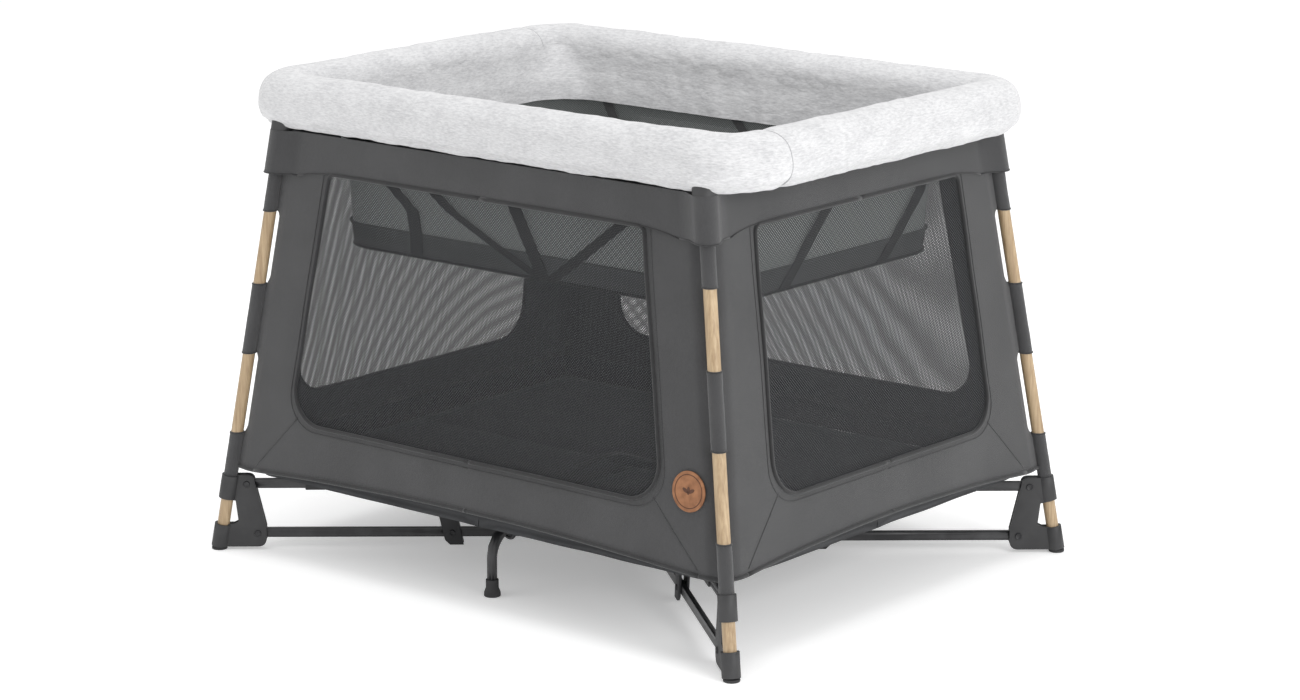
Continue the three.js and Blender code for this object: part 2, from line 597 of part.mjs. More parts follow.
function rim() {
  const grow = RIM_HALF_WIDTH - RIM_ROUND;
  const shape = roundedRectangle(RIM_HALF_X + grow, RIM_HALF_Y + grow, RIM_CORNER + grow);
  shape.holes.push(roundedRectangle(RIM_HALF_X - grow, RIM_HALF_Y - grow, RIM_CORNER, new THREE.Path()));
  const depth = RIM_TOP - RIM_BOTTOM - 2 * RIM_ROUND;
  const round = { bevelThickness: RIM_ROUND, bevelSize: RIM_ROUND, bevelSegments: 4 };
  const options = { depth, ...round, curveSegments: 5 };
  const ring = new THREE.ExtrudeGeometry(shape, options).translate(0, 0, RIM_BOTTOM + RIM_ROUND);
  const railX = legX(RAIL_Z) + RAIL_OUTSET;
  const railY = legY(RAIL_Z);
  const channels = [];
  const low = RIM_BOTTOM - OVERRUN;
  const high = RIM_CHANNEL_TOP;
  for (const sign of [-1, 1]) {
    const x = sign * railX;
    const y = sign * railY;
    channels.push(box([-railX, y - RIM_CHANNEL, low], [railX, y + RIM_CHANNEL, high]));
    channels.push(box([x - RIM_CHANNEL, -railY, low], [x + RIM_CHANNEL, railY, high]));
  }
  for (const { sx, sy } of CORNERS) {
    const [fromX, toX] = inOrder(sx * (railX - RIM_POCKET.inX), sx * (railX + RIM_POCKET.outX));
    const [fromY, toY] = inOrder(sy * (railY - RIM_POCKET.inY), sy * (railY + RIM_POCKET.outY));
    channels.push(box([fromX, fromY, low], [toX, toY, high]));
  }
  return cut(ring, ...channels);
}

// ---- floor pads and bassinet -----------------------------------------------------------------------------
function floorPad() {
  const reachX = legX(FLOOR_TOP) - FLOOR_GAP_TO_WALL;
  const reachY = legY(FLOOR_TOP) - FLOOR_GAP_TO_WALL;
  const shape = new THREE.Shape();
  shape.moveTo(FLOOR_HANDLE_X, FLOOR_SPLIT);
  shape.lineTo(reachX, FLOOR_SPLIT);
  shape.lineTo(reachX, reachY - FLOOR_CORNER);
  shape.quadraticCurveTo(reachX, reachY, reachX - FLOOR_CORNER, reachY);
  shape.lineTo(FLOOR_SPLIT, reachY);
  shape.lineTo(FLOOR_SPLIT, FLOOR_HANDLE_Y);
  shape.lineTo(FLOOR_HANDLE_X, FLOOR_HANDLE_Y);
  const options = { depth: FLOOR_TOP - FLOOR_BOTTOM, bevelEnabled: false, curveSegments: 6 };
  return new THREE.ExtrudeGeometry(shape, options).translate(0, 0, FLOOR_BOTTOM);
}

// A slab between two rounded rectangles, the upper one larger, closed at top and bottom.
function taperedTub(low, high, corner) {
  const points = roundedRectangle(low.x, low.y, corner).getPoints(6);
  const shape = new THREE.Shape(points);
  const geometry = new THREE.ExtrudeGeometry(shape, { depth: high.z - low.z, bevelEnabled: false });
  const position = geometry.attributes.position;
  for (let i = 0; i < position.count; i += 1) {
    const share = position.getZ(i) / (high.z - low.z);
    const growX = (high.x - low.x) * share;
    const growY = (high.y - low.y) * share;
    position.setX(i, position.getX(i) + Math.sign(position.getX(i)) * growX);
    position.setY(i, position.getY(i) + Math.sign(position.getY(i)) * growY);
    position.setZ(i, position.getZ(i) + low.z);
  }
  return geometry;
}

function bassinet() {
  const skin = ({ x, y, z }, rise) => ({ x: x - BASSINET_SKIN, y: y - BASSINET_SKIN, z: z + rise });
  const outer = taperedTub(BASSINET_BOTTOM, BASSINET_TOP, BASSINET_CORNER);
  const innerCorner = BASSINET_CORNER - BASSINET_SKIN;
  const inner = taperedTub(skin(BASSINET_BOTTOM, BASSINET_SKIN), skin(BASSINET_TOP, OVERRUN), innerCorner);
  return cut(outer, inner);
}

function bassinetPad() {
  const x = BASSINET_BOTTOM.x - BASSINET_SKIN - BASSINET_PAD_GAP;
  const y = BASSINET_BOTTOM.y - BASSINET_SKIN - BASSINET_PAD_GAP;
  const shape = roundedRectangle(x, y, BASSINET_CORNER - BASSINET_SKIN - BASSINET_PAD_GAP);
  const base = BASSINET_BOTTOM.z + BASSINET_SKIN + GAP;
  const options = { depth: BASSINET_PAD_HEIGHT, bevelEnabled: false, curveSegments: 6 };
  return new THREE.ExtrudeGeometry(shape, options).translate(0, 0, base);
}

// ---- assembly --------------------------------------------------------------------------------------------
function addCorner({ name, sx, sy }) {
  const foot = [sx * FOOT_X, sy * FOOT_Y, 0];
  addPiece(`leg_tube_${name}`, mirrored(indexed(legTube()), sx, sy), FINISH.timber, foot);
  addPiece(`corner_casting_${name}`, mirrored(cornerCasting(), sx, sy), FINISH.charcoalPlastic, foot);
  addPiece(`foot_bracket_${name}`, mirrored(footBracket(), sx, sy), FINISH.charcoalPlastic, foot);
  addPiece(`rubber_foot_${name}`, rubberFoot(), FINISH.rubber, foot);
}

function addArms({ name, sx, sy }) {
  const upper = [sx * HUB_PIVOT.x, sy * HUB_PIVOT.y, BRACKET_UPPER.z];
  const step = [ARM_DIRECTION.x * HUB_STEP, ARM_DIRECTION.y * HUB_STEP];
  const lower = [sx * (HUB_PIVOT.x - step[0]), sy * (HUB_PIVOT.y - step[1]), BRACKET_LOWER.z];
  const along = [ARM_DIRECTION.x * LINK_FROM_HUB, ARM_DIRECTION.y * LINK_FROM_HUB];
  const link = [lower[0] + sx * along[0], lower[1] + sy * along[1], BRACKET_LOWER.z];
  addPiece(`upper_arm_${name}`, mirrored(armBar(), sx, sy), FINISH.blackPaint, upper);
  addPiece(`lower_arm_${name}`, mirrored(armBar(), sx, sy), FINISH.blackPaint, lower);
  addPiece(`arm_link_${name}`, mirrored(armLink(), sx, sy), FINISH.charcoalPlastic, link);
  addPiece(`floor_pad_${name}`, mirrored(indexed(floorPad()), sx, sy), FINISH.floorFabric);
}

function addRails({ name, sx, sy }) {
  const long = halfRail(RAIL_HALF_X, new THREE.Vector2(-sx, 0), sx > 0);
  const short = halfRail(RAIL_HALF_Y, new THREE.Vector2(0, -sy), sy > 0);
  const railX = legX(RAIL_Z) + RAIL_OUTSET;
  addPiece(`long_rail_${name}`, long, FINISH.blackPaint, [sx * RAIL_HALF_X, sy * legY(RAIL_Z), RAIL_Z]);
  addPiece(`short_rail_${name}`, short, FINISH.blackPaint, [sx * railX, sy * RAIL_HALF_Y, RAIL_Z]);
}

CORNERS.forEach(addCorner);
CORNERS.forEach(addArms);
CORNERS.forEach(addRails);
addPiece('hub', hub(), FINISH.charcoalPlastic);
addPiece('hub_handle', hubHandle(), FINISH.charcoalPlastic);

for (const { name, sy } of LONG_SIDES) {
  const footPlace = [sy * SUPPORT_OFFSET_X, sy * SUPPORT_REACH, 0];
  addPiece(`support_tube_${name}`, supportTube(sy), FINISH.blackPaint);
  addPiece(`support_foot_${name}`, supportFoot(), FINISH.rubber, footPlace);
  addPiece(`wall_${name}`, wall('x', sy), FINISH.charcoalFabric);
  addPiece(`window_net_${name}`, net('x', sy), FINISH.net);
}
for (const { name, sx } of SHORT_SIDES) {
  addPiece(`wall_${name}`, wall('y', sx), FINISH.charcoalFabric);
  addPiece(`window_net_${name}`, net('y', sx), FINISH.net);
}

const wholeRim = rim();
for (const { name, sy } of LONG_SIDES) {
  const [from, to] = inOrder(sy * RIM_SEAM_Y, sy * FAR);
  addPiece(`rim_cushion_${name}`, overlap(wholeRim, box([-FAR, from, 0], [FAR, to, FAR])), FINISH.melange);
}
for (const { name, sx } of SHORT_SIDES) {
  const [from, to] = inOrder(0, sx * FAR);
  const reach = RIM_SEAM_Y - GAP;
  const middle = overlap(wholeRim, box([from, -reach, 0], [to, reach, FAR]));
  addPiece(`rim_cushion_${name}`, middle, FINISH.melange);
}

addPiece('bassinet', bassinet(), FINISH.bassinetFabric);
addPiece('bassinet_pad', bassinetPad(), FINISH.bassinetFabric);

export default playpen;
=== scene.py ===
import bmesh
import bpy
import json
import math
from mathutils import Matrix, Vector, noise

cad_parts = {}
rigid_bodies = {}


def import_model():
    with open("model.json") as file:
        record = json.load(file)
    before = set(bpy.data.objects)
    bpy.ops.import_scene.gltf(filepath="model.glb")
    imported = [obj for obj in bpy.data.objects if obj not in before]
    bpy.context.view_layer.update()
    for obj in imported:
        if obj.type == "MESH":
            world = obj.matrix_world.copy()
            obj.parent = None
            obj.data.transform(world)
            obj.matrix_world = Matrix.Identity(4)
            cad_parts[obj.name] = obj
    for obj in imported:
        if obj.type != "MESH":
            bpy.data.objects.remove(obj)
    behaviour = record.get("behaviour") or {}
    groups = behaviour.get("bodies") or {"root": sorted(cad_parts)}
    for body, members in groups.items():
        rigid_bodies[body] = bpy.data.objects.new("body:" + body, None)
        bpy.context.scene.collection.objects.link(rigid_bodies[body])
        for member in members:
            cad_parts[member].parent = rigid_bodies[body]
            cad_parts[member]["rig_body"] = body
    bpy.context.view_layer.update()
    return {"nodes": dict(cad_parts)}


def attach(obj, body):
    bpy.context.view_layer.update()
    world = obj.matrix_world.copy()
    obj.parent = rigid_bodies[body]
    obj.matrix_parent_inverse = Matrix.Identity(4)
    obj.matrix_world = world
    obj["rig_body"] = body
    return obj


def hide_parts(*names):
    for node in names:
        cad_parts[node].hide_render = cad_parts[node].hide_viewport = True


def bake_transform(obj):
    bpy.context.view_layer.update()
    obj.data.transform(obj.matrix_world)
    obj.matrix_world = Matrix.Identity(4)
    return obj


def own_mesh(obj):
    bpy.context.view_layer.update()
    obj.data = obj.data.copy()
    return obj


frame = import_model()

# ---- sizes, in metres -----------------------------------------------
FOOT_X = 0.520
FOOT_Y = 0.418
LEAN_X = 0.1488
LEAN_Y = 0.0908
TUBE_RADIUS = 0.010
SLEEVE_RADIUS = 0.0112
SLEEVES = [(0.552, 0.620), (0.323, 0.437), (0.119, 0.195)]
TIMBER_TOP = 0.640
TIMBER_BOTTOM = 0.009

RAIL_Z = 0.712
RAIL_INSET = 0.028

RIM_X = 0.460
RIM_Y = 0.338
RIM_HALF_WIDTH = 0.0445
RIM_MIDDLE_Z = 0.7235
RIM_HALF_HEIGHT = 0.0435
RIM_CORNER = 0.058
RIM_STEP = 0.0085
RIM_SEAM_Y = 0.262
BLEND_BACK = 0.020
BLEND_ON = 0.058

WALL_TOP = 0.682
BAND_BOTTOM = 0.627
WALL_CORNER_BOTTOM = 0.139
WALL_MIDDLE_BOTTOM = 0.154
WALL_CORNER_RADIUS = 0.037
WALL_CORNER_FLAT = 0.012
WALL_GRID = 0.022
WALL_CLOTH_THICK = 0.0014
CORNER_CLOTH_THICK = 0.0013
BAND_THICK = 0.0012
CORNER_BAND_THICK = 0.0008
BAND_STAND_OFF = 0.0016
BAND_LEG_BOTTOM = 0.6145
BOOT_WRAP = 0.0188

WINDOW_TOP = 0.625
WINDOW_BOTTOM = 0.228
WINDOW_TOP_RADIUS = 0.012
WINDOW_BOTTOM_RADIUS = 0.056
WINDOW_LAP = 0.003
PIPING_RADIUS = 0.0032
BINDING_RADIUS = 0.0034

FLOOR_TOP = 0.145
FLOOR_THICK = 0.022
FLOOR_EDGE = 0.028
FLOOR_CORNER = 0.026
FLOOR_HANDLE = (0.047, 0.019)
GUSSET_HIGH = 0.170
GUSSET_LOW = 0.1415
GUSSET_RUN = 0.030
GUSSET_CUT = 0.044

BASSINET_LOW = (0.373, 0.286, 0.4965)
BASSINET_HIGH = (0.407, 0.288, 0.689)
BASSINET_CORNER = 0.068
BASSINET_SAG = 0.004
BAND_HEIGHT = 0.036
STRAP_WIDTH = 0.025
STRAP_THICK = 0.0016
BASSINET_PAD_TOP = 0.519

BADGE_PLACE = (0.424, 0.258)
BADGE_RADIUS = 0.030
BADGE_RING_RADIUS = 0.0245

FINE_EDGE = 0.0008
SMOOTH_ANGLE = math.radians(35)

CORNERS = {
    "front_left": (-1, -1),
    "front_right": (1, -1),
    "rear_right": (1, 1),
    "rear_left": (-1, 1),
}
CORNER_NAME = {signs: name for name, signs in CORNERS.items()}


def leg_x(z):
    return FOOT_X - LEAN_X * z


def leg_y(z):
    return FOOT_Y - LEAN_Y * z


RAIL_HALF_X = leg_x(RAIL_Z) - RAIL_INSET
RAIL_HALF_Y = leg_y(RAIL_Z) - RAIL_INSET


# ---- camera, stage and lights ---------------------------------------
CAMERA_PLACE = (3.5599, -4.2931, 1.6649)
CAMERA_AZIMUTH = math.radians(39.4617)
CAMERA_ELEVATION = math.radians(13.4855)
CAMERA_LENS = 100.88
LIGHTS = {
    "key_from_right": ((4.4, -0.9, 1.9), 0.3, 2.2, 95),
    "fill_from_left": ((-2.2, -4.2, 2.2), 0.4, 3.0, 27),
    "top": ((0, 0, 4.2), 0.5, 3.0, 66),
}
WORLD_LIGHT = 0.72
FLOOR_GLOW = 0.3


def make_camera():
    data = bpy.data.cameras.new("camera")
    data.lens = CAMERA_LENS
    data.sensor_width = 36
    camera = bpy.data.objects.new("camera", data)
    bpy.context.scene.collection.objects.link(camera)
    camera.location = CAMERA_PLACE
    camera.rotation_euler = (math.pi / 2 - CAMERA_ELEVATION, 0, CAMERA_AZIMUTH)
    bpy.context.scene.camera = camera


def soft_light(name, place, target, size, power):
    data = bpy.data.lights.new(name, "AREA")
    data.size = size
    data.energy = power
    light = bpy.data.objects.new(name, data)
    bpy.context.scene.collection.objects.link(light)
    light.location = place
    light.rotation_euler = (Vector(target) - Vector(place)).to_track_quat("-Z", "Y").to_euler()


def make_stage():
    bm = bmesh.new()
    bmesh.ops.create_grid(bm, x_segments=1, y_segments=1, size=30)
    mesh = bpy.data.meshes.new("floor")
    bm.to_mesh(mesh)
    bm.free()
    floor = bpy.data.objects.new("floor", mesh)
    bpy.context.scene.collection.objects.link(floor)
    material = bpy.data.materials.new("pale_floor")
    material.use_nodes = True
    shader = material.node_tree.nodes["Principled BSDF"]
    shader.inputs["Base Color"].default_value = (0.95, 0.95, 0.95, 1)
    shader.inputs["Emission Color"].default_value = (1, 1, 1, 1)
    shader.inputs["Emission Strength"].default_value = FLOOR_GLOW
    shader.inputs["Roughness"].default_value = 0.8
    shader.inputs["Specular IOR Level"].default_value = 0.1
    mesh.materials.append(material)
    world = bpy.data.worlds.new("studio")
    bpy.context.scene.world = world
    world.use_nodes = True
    background = world.node_tree.nodes["Background"]
    background.inputs["Color"].default_value = (1, 1, 1, 1)
    background.inputs["Strength"].default_value = WORLD_LIGHT
    bpy.context.scene.view_settings.view_transform = "Standard"
    for name, (place, target_z, size, power) in LIGHTS.items():
        soft_light(name, place, (0, 0, target_z), size, power)


# ---- shader writing -------------------------------------------------
def tone(red, green, blue):
    """A colour given in display values from 0 to 255, as the linear colour that a shader takes."""
    shares = [c / 255 for c in (red, green, blue)]
    return (*[c / 12.92 if c <= 0.04 else ((c + 0.055) / 1.055) ** 2.4 for c in shares], 1)


class Field:
    """A number that varies over a surface. Arithmetic on it adds Math nodes."""

    def __init__(self, finish, socket):
        self.finish = finish
        self.socket = socket

    def __add__(self, other):
        return self.finish.maths("ADD", self, other)

    def __sub__(self, other):
        return self.finish.maths("SUBTRACT", self, other)

    def __rsub__(self, other):
        return self.finish.maths("SUBTRACT", other, self)

    def __mul__(self, other):
        return self.finish.maths("MULTIPLY", self, other)

    def __gt__(self, other):
        return self.finish.maths("GREATER_THAN", self, other)

    def __lt__(self, other):
        return self.finish.maths("LESS_THAN", self, other)

    __radd__ = __add__
    __rmul__ = __mul__


class Finish:
    """One procedural material: its Principled shader and the nodes that feed it."""

    def __init__(self, name, roughness, **uniform):
        self.material = bpy.data.materials.new(name)
        self.material.use_nodes = True
        self.tree = self.material.node_tree
        self.shader = self.tree.nodes["Principled BSDF"]
        self.set("Roughness", roughness)
        for socket, value in uniform.items():
            self.set(socket.replace("_", " "), value)

    def put(self, socket, value):
        if isinstance(value, Field):
            self.tree.links.new(value.socket, socket)
        else:
            socket.default_value = value

    def set(self, socket, value):
        self.put(self.shader.inputs[socket], value)

    def node(self, kind, inputs=None, output=0, **settings):
        made = self.tree.nodes.new(kind)
        for name, value in settings.items():
            setattr(made, name, value)
        for key, value in (inputs or {}).items():
            self.put(made.inputs[key], value)
        return Field(self, made.outputs[output])

    def maths(self, operation, *values):
        return self.node("ShaderNodeMath", dict(enumerate(values)), operation=operation)

    def place(self, scale=(1, 1, 1), turn=(0, 0, 0)):
        where = self.node("ShaderNodeTexCoord", output="Object")
        return self.node("ShaderNodeMapping", {"Vector": where, "Scale": scale, "Rotation": turn})

    def axes(self, scale=(1, 1, 1)):
        split = self.node("ShaderNodeSeparateXYZ", {"Vector": self.place(scale)})
        return [Field(self, split.socket.node.outputs[i]) for i in range(3)]

    def noise(self, size, detail=3, stretch=(1, 1, 1), roughness=0.5):
        inputs = {"Vector": self.place(stretch), "Scale": 1 / size, "Detail": detail, "Roughness": roughness}
        return self.node("ShaderNodeTexNoise", inputs)

    def colours(self, share, first, second):
        inputs = {"Factor": share, "A": first, "B": second}
        mixed = self.node("ShaderNodeMix", data_type="RGBA")
        sockets = {s.identifier: s for s in mixed.socket.node.inputs}
        self.put(sockets["Factor_Float"], inputs["Factor"])
        self.put(sockets["A_Color"], inputs["A"])
        self.put(sockets["B_Color"], inputs["B"])
        outputs = {s.identifier: s for s in mixed.socket.node.outputs}
        return Field(self, outputs["Result_Color"])

    def within(self, value, low, high, least=0.0, most=1.0):
        inputs = {"Value": value, "From Min": low, "From Max": high, "To Min": least, "To Max": most}
        return self.node("ShaderNodeMapRange", inputs)

    def relief(self, height, depth, strength=1.0):
        bump = self.node("ShaderNodeBump", {"Height": height, "Distance": depth, "Strength": strength})
        self.set("Normal", bump)

    def wave(self, value, pitch):
        return self.maths("SINE", value * (2 * math.pi / pitch))


def weave_height(finish, pitch):
    """Over-and-under threads of a plain weave, for cloth that stands upright or lies flat."""
    x, y, z = finish.axes()
    across = finish.wave(x + y, pitch)
    along = finish.wave(z + (x - y) * 0.5, pitch)
    return across * along


def timber_finish():
    finish = Finish("timber_look", 0.5, Coat_Weight=0.15, Coat_Roughness=0.3)
    grain = finish.noise(0.0035, 4, (1, 1, 0.045), 0.6)
    streak = finish.noise(0.012, 2, (1, 1, 0.08))
    fibre = finish.noise(0.0009, 2, (1, 1, 0.05))
    share = finish.within(grain * 0.65 + streak * 0.35, 0.36, 0.66)
    finish.set("Base Color", finish.colours(share, tone(146, 122, 92), tone(188, 165, 132)))
    finish.set("Roughness", 0.42 + fibre * 0.2)
    finish.relief(fibre + grain * 0.6, 0.0002)
    return finish.material


def moulded_finish(name, dark, light, roughness):
    finish = Finish(name, roughness)
    cloud = finish.noise(0.05, 3)
    pore = finish.noise(0.0007, 2)
    finish.set("Base Color", finish.colours(finish.within(cloud, 0.35, 0.65), dark, light))
    finish.set("Roughness", (roughness - 0.06) + pore * 0.14)
    finish.relief(pore, 0.00008)
    return finish.material


def painted_finish():
    finish = Finish("black_paint", 0.38, Coat_Weight=0.2, Coat_Roughness=0.25)
    peel = finish.noise(0.002, 2)
    rub = finish.noise(0.03, 4)
    finish.set("Base Color", finish.colours(finish.within(rub, 0.4, 0.7), tone(30, 30, 32), tone(52, 52, 54)))
    finish.set("Roughness", 0.3 + rub * 0.2)
    finish.relief(peel, 0.00005)
    return finish.material


def woven_finish(name, dark, light, pitch=0.0011, depth=0.00022, sheen=0.25):
    finish = Finish(name, 0.85, Sheen_Weight=sheen, Sheen_Roughness=0.5, Specular_IOR_Level=0.25)
    threads = weave_height(finish, pitch)
    cloud = finish.noise(0.09, 3)
    slub = finish.noise(0.0016, 3, (1, 1, 0.35))
    share = finish.within(cloud * 0.45 + slub * 0.45 + threads * 0.08, 0.3, 0.62)
    finish.set("Base Color", finish.colours(share, dark, light))
    finish.relief(threads * 0.5 + slub + cloud * 1.5, depth)
    return finish.material


def melange_finish():
    finish = Finish("melange_jersey", 0.92, Sheen_Weight=0.35, Sheen_Roughness=0.6, Specular_IOR_Level=0.2)
    fleck = finish.noise(0.0020, 4, (0.22, 0.22, 1), 0.68)
    cloud = finish.noise(0.03, 3, (0.6, 0.6, 1))
    crease = finish.noise(0.030, 2, (1, 1, 2.6))
    knit = finish.noise(0.0008, 2)
    share = finish.within(fleck * 0.75 + cloud * 0.25, 0.34, 0.6)
    finish.set("Base Color", finish.colours(share, tone(178, 178, 180), tone(209, 209, 210)))
    finish.relief(fleck * 0.12 + knit * 0.10 + crease * 1.5, 0.0018, 0.75)
    return finish.material


def net_finish(name, thread, light_thread, pitch, hole, thread_cover, painted_glow=0.0):
    """Knitted net: two sets of slanting threads; `hole` is how far a mesh's middle is still veiled."""
    # Any emission strength given here is a painted glow in the light thread colour. It stands in for light
    # that the net does not get.
    finish = Finish(name, 0.8, Specular_IOR_Level=0.2, Emission_Strength=painted_glow)
    finish.set("Emission Color", light_thread)
    x, y, z = finish.axes()
    drift = finish.noise(0.09, 2) * (pitch * 0.7)
    level = z + drift
    first = finish.maths("ABSOLUTE", finish.wave(x + y + level, pitch * 2.8))
    second = finish.maths("ABSOLUTE", finish.wave(x + y - level, pitch * 2.8))
    threads = finish.maths("MAXIMUM", first, second)
    knots = first * second
    finish.set("Alpha", finish.within(threads, 0.5, 0.95, hole, thread_cover))
    finish.set("Base Color", finish.colours(finish.within(knots, 0.2, 1.0), thread, light_thread))
    finish.relief(threads + knots * 0.4, 0.0005)
    finish.material.surface_render_method = "DITHERED"
    return finish.material


def padded_floor_finish():
    finish = Finish("floor_net_over_padding", 0.85, Sheen_Weight=0.15, Specular_IOR_Level=0.2)
    x, y, _z = finish.axes()
    cells = finish.wave(x + y, 0.0038) * finish.wave(x - y, 0.0038)
    cloud = finish.noise(0.12, 3)
    share = finish.within(cells * 0.35 + cloud, 0.2, 0.8)
    finish.set("Base Color", finish.colours(share, tone(36, 37, 39), tone(62, 63, 65)))
    finish.relief(cells * 0.5 + cloud * 3, 0.0006)
    return finish.material


def webbing_finish():
    finish = Finish("black_webbing", 0.7, Sheen_Weight=0.15)
    x, y, z = finish.axes()
    rib = finish.wave(z, 0.0016)
    edge = finish.wave(x + y, 0.003)
    share = finish.within(rib * edge, -1, 1)
    finish.set("Base Color", finish.colours(share, tone(34, 34, 36), tone(58, 58, 60)))
    finish.relief(rib + edge * 0.4, 0.0002)
    return finish.material


def leather_finish():
    finish = Finish("tan_leather", 0.6, Specular_IOR_Level=0.35)
    pebble = finish.node("ShaderNodeTexVoronoi", {"Vector": finish.place(), "Scale": 900.0})
    cloud = finish.noise(0.012, 4)
    share = finish.within(cloud, 0.3, 0.7)
    finish.set("Base Color", finish.colours(share, tone(124, 82, 54), tone(158, 110, 76)))
    finish.relief(pebble * 0.6 + cloud, 0.0003)
    return finish.material


make_camera()
make_stage()
TIMBER = timber_finish()
PLASTIC = moulded_finish("charcoal_plastic", tone(43, 43, 44), tone(54, 54, 55), 0.55)
DARK_PLASTIC = moulded_finish("black_plastic", tone(30, 30, 32), tone(42, 42, 44), 0.5)
PAINT = painted_finish()
RUBBER = moulded_finish("black_rubber", tone(40, 40, 41), tone(52, 52, 53), 0.8)
CLOTH = woven_finish("charcoal_cloth", tone(60, 60, 61), tone(72, 72, 73))
BINDING = woven_finish("dark_binding", tone(40, 40, 41), tone(52, 52, 53), 0.0016)
THREAD = woven_finish("seam_thread", tone(52, 52, 53), tone(66, 66, 67), 0.0008)
PALE_THREAD = woven_finish("rim_thread", tone(150, 150, 153), tone(180, 180, 183), 0.0008)
MELANGE = melange_finish()
NET = net_finish("window_net", tone(14, 14, 15), tone(88, 89, 91), 0.0034, 0.24, 0.92)
# Outer bassinet net: light grey-green threads made lighter still and given a painted glow of 0.2. This is the
# lit copy of the net, standing in for light it lacks under the rim.
LIT_BASSINET_NET = net_finish("bassinet_net", tone(172, 179, 176), tone(220, 226, 224), 0.0026, 0.60, 0.97, 0.2)
# Inner bassinet lining: the same net in darker threads. It is a shaded copy that paints the shade inside the
# bassinet.
SHADED_LINING_NET = net_finish("bassinet_shade_lining", tone(56, 57, 58), tone(104, 106, 107), 0.0026, 0.30, 0.85)
FLOOR_CLOTH = padded_floor_finish()
BASSINET_BAND = woven_finish("bassinet_band", tone(112, 115, 115), tone(136, 139, 139))
WEBBING = webbing_finish()
LEATHER = leather_finish()
LEATHER_MARK = moulded_finish("pressed_leather", tone(70, 42, 28), tone(88, 54, 36), 0.7)


# ---- mesh helpers ---------------------------------------------------
def piece(name, bm, material, slot, smooth=True):
    for face in bm.faces:
        face.smooth = smooth
    mesh = bpy.data.meshes.new(name)
    bm.to_mesh(mesh)
    bm.free()
    mesh.materials.append(material)
    made = bpy.data.objects.new(name, mesh)
    bpy.context.scene.collection.objects.link(made)
    return made


def thicken(made, thickness, offset=-1):
    bm = bmesh.new()
    bm.from_mesh(made.data)
    for border in bm.edges:
        border.smooth = not border.is_boundary
    bm.to_mesh(made.data)
    bm.free()
    modifier = made.modifiers.new("thickness", "SOLIDIFY")
    modifier.thickness = thickness
    modifier.offset = offset
    return made


def rounded(made, width, segments=2, angle=SMOOTH_ANGLE):
    modifier = made.modifiers.new("edges", "BEVEL")
    modifier.width = width
    modifier.segments = segments
    modifier.limit_method = "ANGLE"
    modifier.angle_limit = angle
    modifier.harden_normals = True
    return made


def tube(name, points, radius, material, slot, closed=False, sides=3):
    """A round cord along points, as mesh."""
    curve = bpy.data.curves.new(name, "CURVE")
    curve.dimensions = "3D"
    curve.bevel_depth = radius
    curve.bevel_resolution = sides
    curve.use_fill_caps = not closed
    line = curve.splines.new("POLY")
    line.points.add(len(points) - 1)
    for spot, at in zip(line.points, points):
        spot.co = (*at, 1)
    line.use_cyclic_u = closed
    shape = bpy.data.objects.new(name + "_line", curve)
    bpy.context.scene.collection.objects.link(shape)
    bpy.context.view_layer.update()
    mesh = bpy.data.meshes.new_from_object(shape.evaluated_get(bpy.context.evaluated_depsgraph_get()))
    bpy.data.objects.remove(shape)
    bm = bmesh.new()
    bm.from_mesh(mesh)
    bmesh.ops.remove_doubles(bm, verts=bm.verts, dist=1e-6)
    bmesh.ops.recalc_face_normals(bm, faces=bm.faces)
    return piece(name, bm, material, slot)


def filled_outline(points, grid, place):
    """A flat sheet inside an outline of (u, z) points, cut into a grid, then placed point by point."""
    bm = bmesh.new()
    verts = [bm.verts.new((u, 0, z)) for u, z in points]
    bm.faces.new(verts)
    for axis in (0, 2):
        low = min(v.co[axis] for v in bm.verts)
        high = max(v.co[axis] for v in bm.verts)
        normal = [0, 0, 0]
        normal[axis] = 1
        step = low + grid
        while step < high - grid * 0.4:
            at = [0, 0, 0]
            at[axis] = step
            geometry = bm.verts[:] + bm.edges[:] + bm.faces[:]
            bmesh.ops.bisect_plane(bm, geom=geometry, plane_co=at, plane_no=normal)
            step += grid
    bmesh.ops.triangulate(bm, faces=[f for f in bm.faces if len(f.verts) > 4])
    for vert in bm.verts:
        vert.co = place(vert.co.x, vert.co.z)
    return bm


def facing(bm, outward):
    """Turns every face of an open sheet to the side that `outward` points to."""
    bm.normal_update()
    flips = [f for f in bm.faces if f.normal.dot(outward) < 0]
    bmesh.ops.reverse_faces(bm, faces=flips)
    return bm


def sewn(name, bm, material, slot, thickness, flat, rests_on):
    """A piece of cloth, cut to `flat` metres, with its two faces if it has a thickness."""
    area = sum(f.calc_area() for f in bm.faces)
    made = piece(name, bm, material, slot)
    if thickness:
        thicken(made, thickness)
    cut = area if area < flat[0] * flat[1] else None
    return made


def arc(centre, radius, start, end, steps):
    angles = [math.radians(start + (end - start) * i / steps) for i in range(steps + 1)]
    return [(centre[0] + radius * math.cos(a), centre[1] + radius * math.sin(a)) for a in angles]


def round_steps(count):
    """The cosine and sine of each step of a full turn."""
    return [(math.cos(2 * math.pi * i / count), math.sin(2 * math.pi * i / count)) for i in range(count)]


def softened(node, material, slot, width=FINE_EDGE):
    """A CAD node's own shape with its edges eased, standing for the node."""
    source = frame["nodes"][node]
    bm = bmesh.new()
    bm.from_mesh(source.data)
    bmesh.ops.remove_doubles(bm, verts=bm.verts, dist=2e-6)
    bmesh.ops.dissolve_limit(bm, angle_limit=math.radians(1.0), verts=bm.verts, edges=bm.edges)
    made = piece(node + "_finished", bm, material, slot)
    rounded(made, width)
    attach(made, source["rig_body"])
    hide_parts(node)
    return made


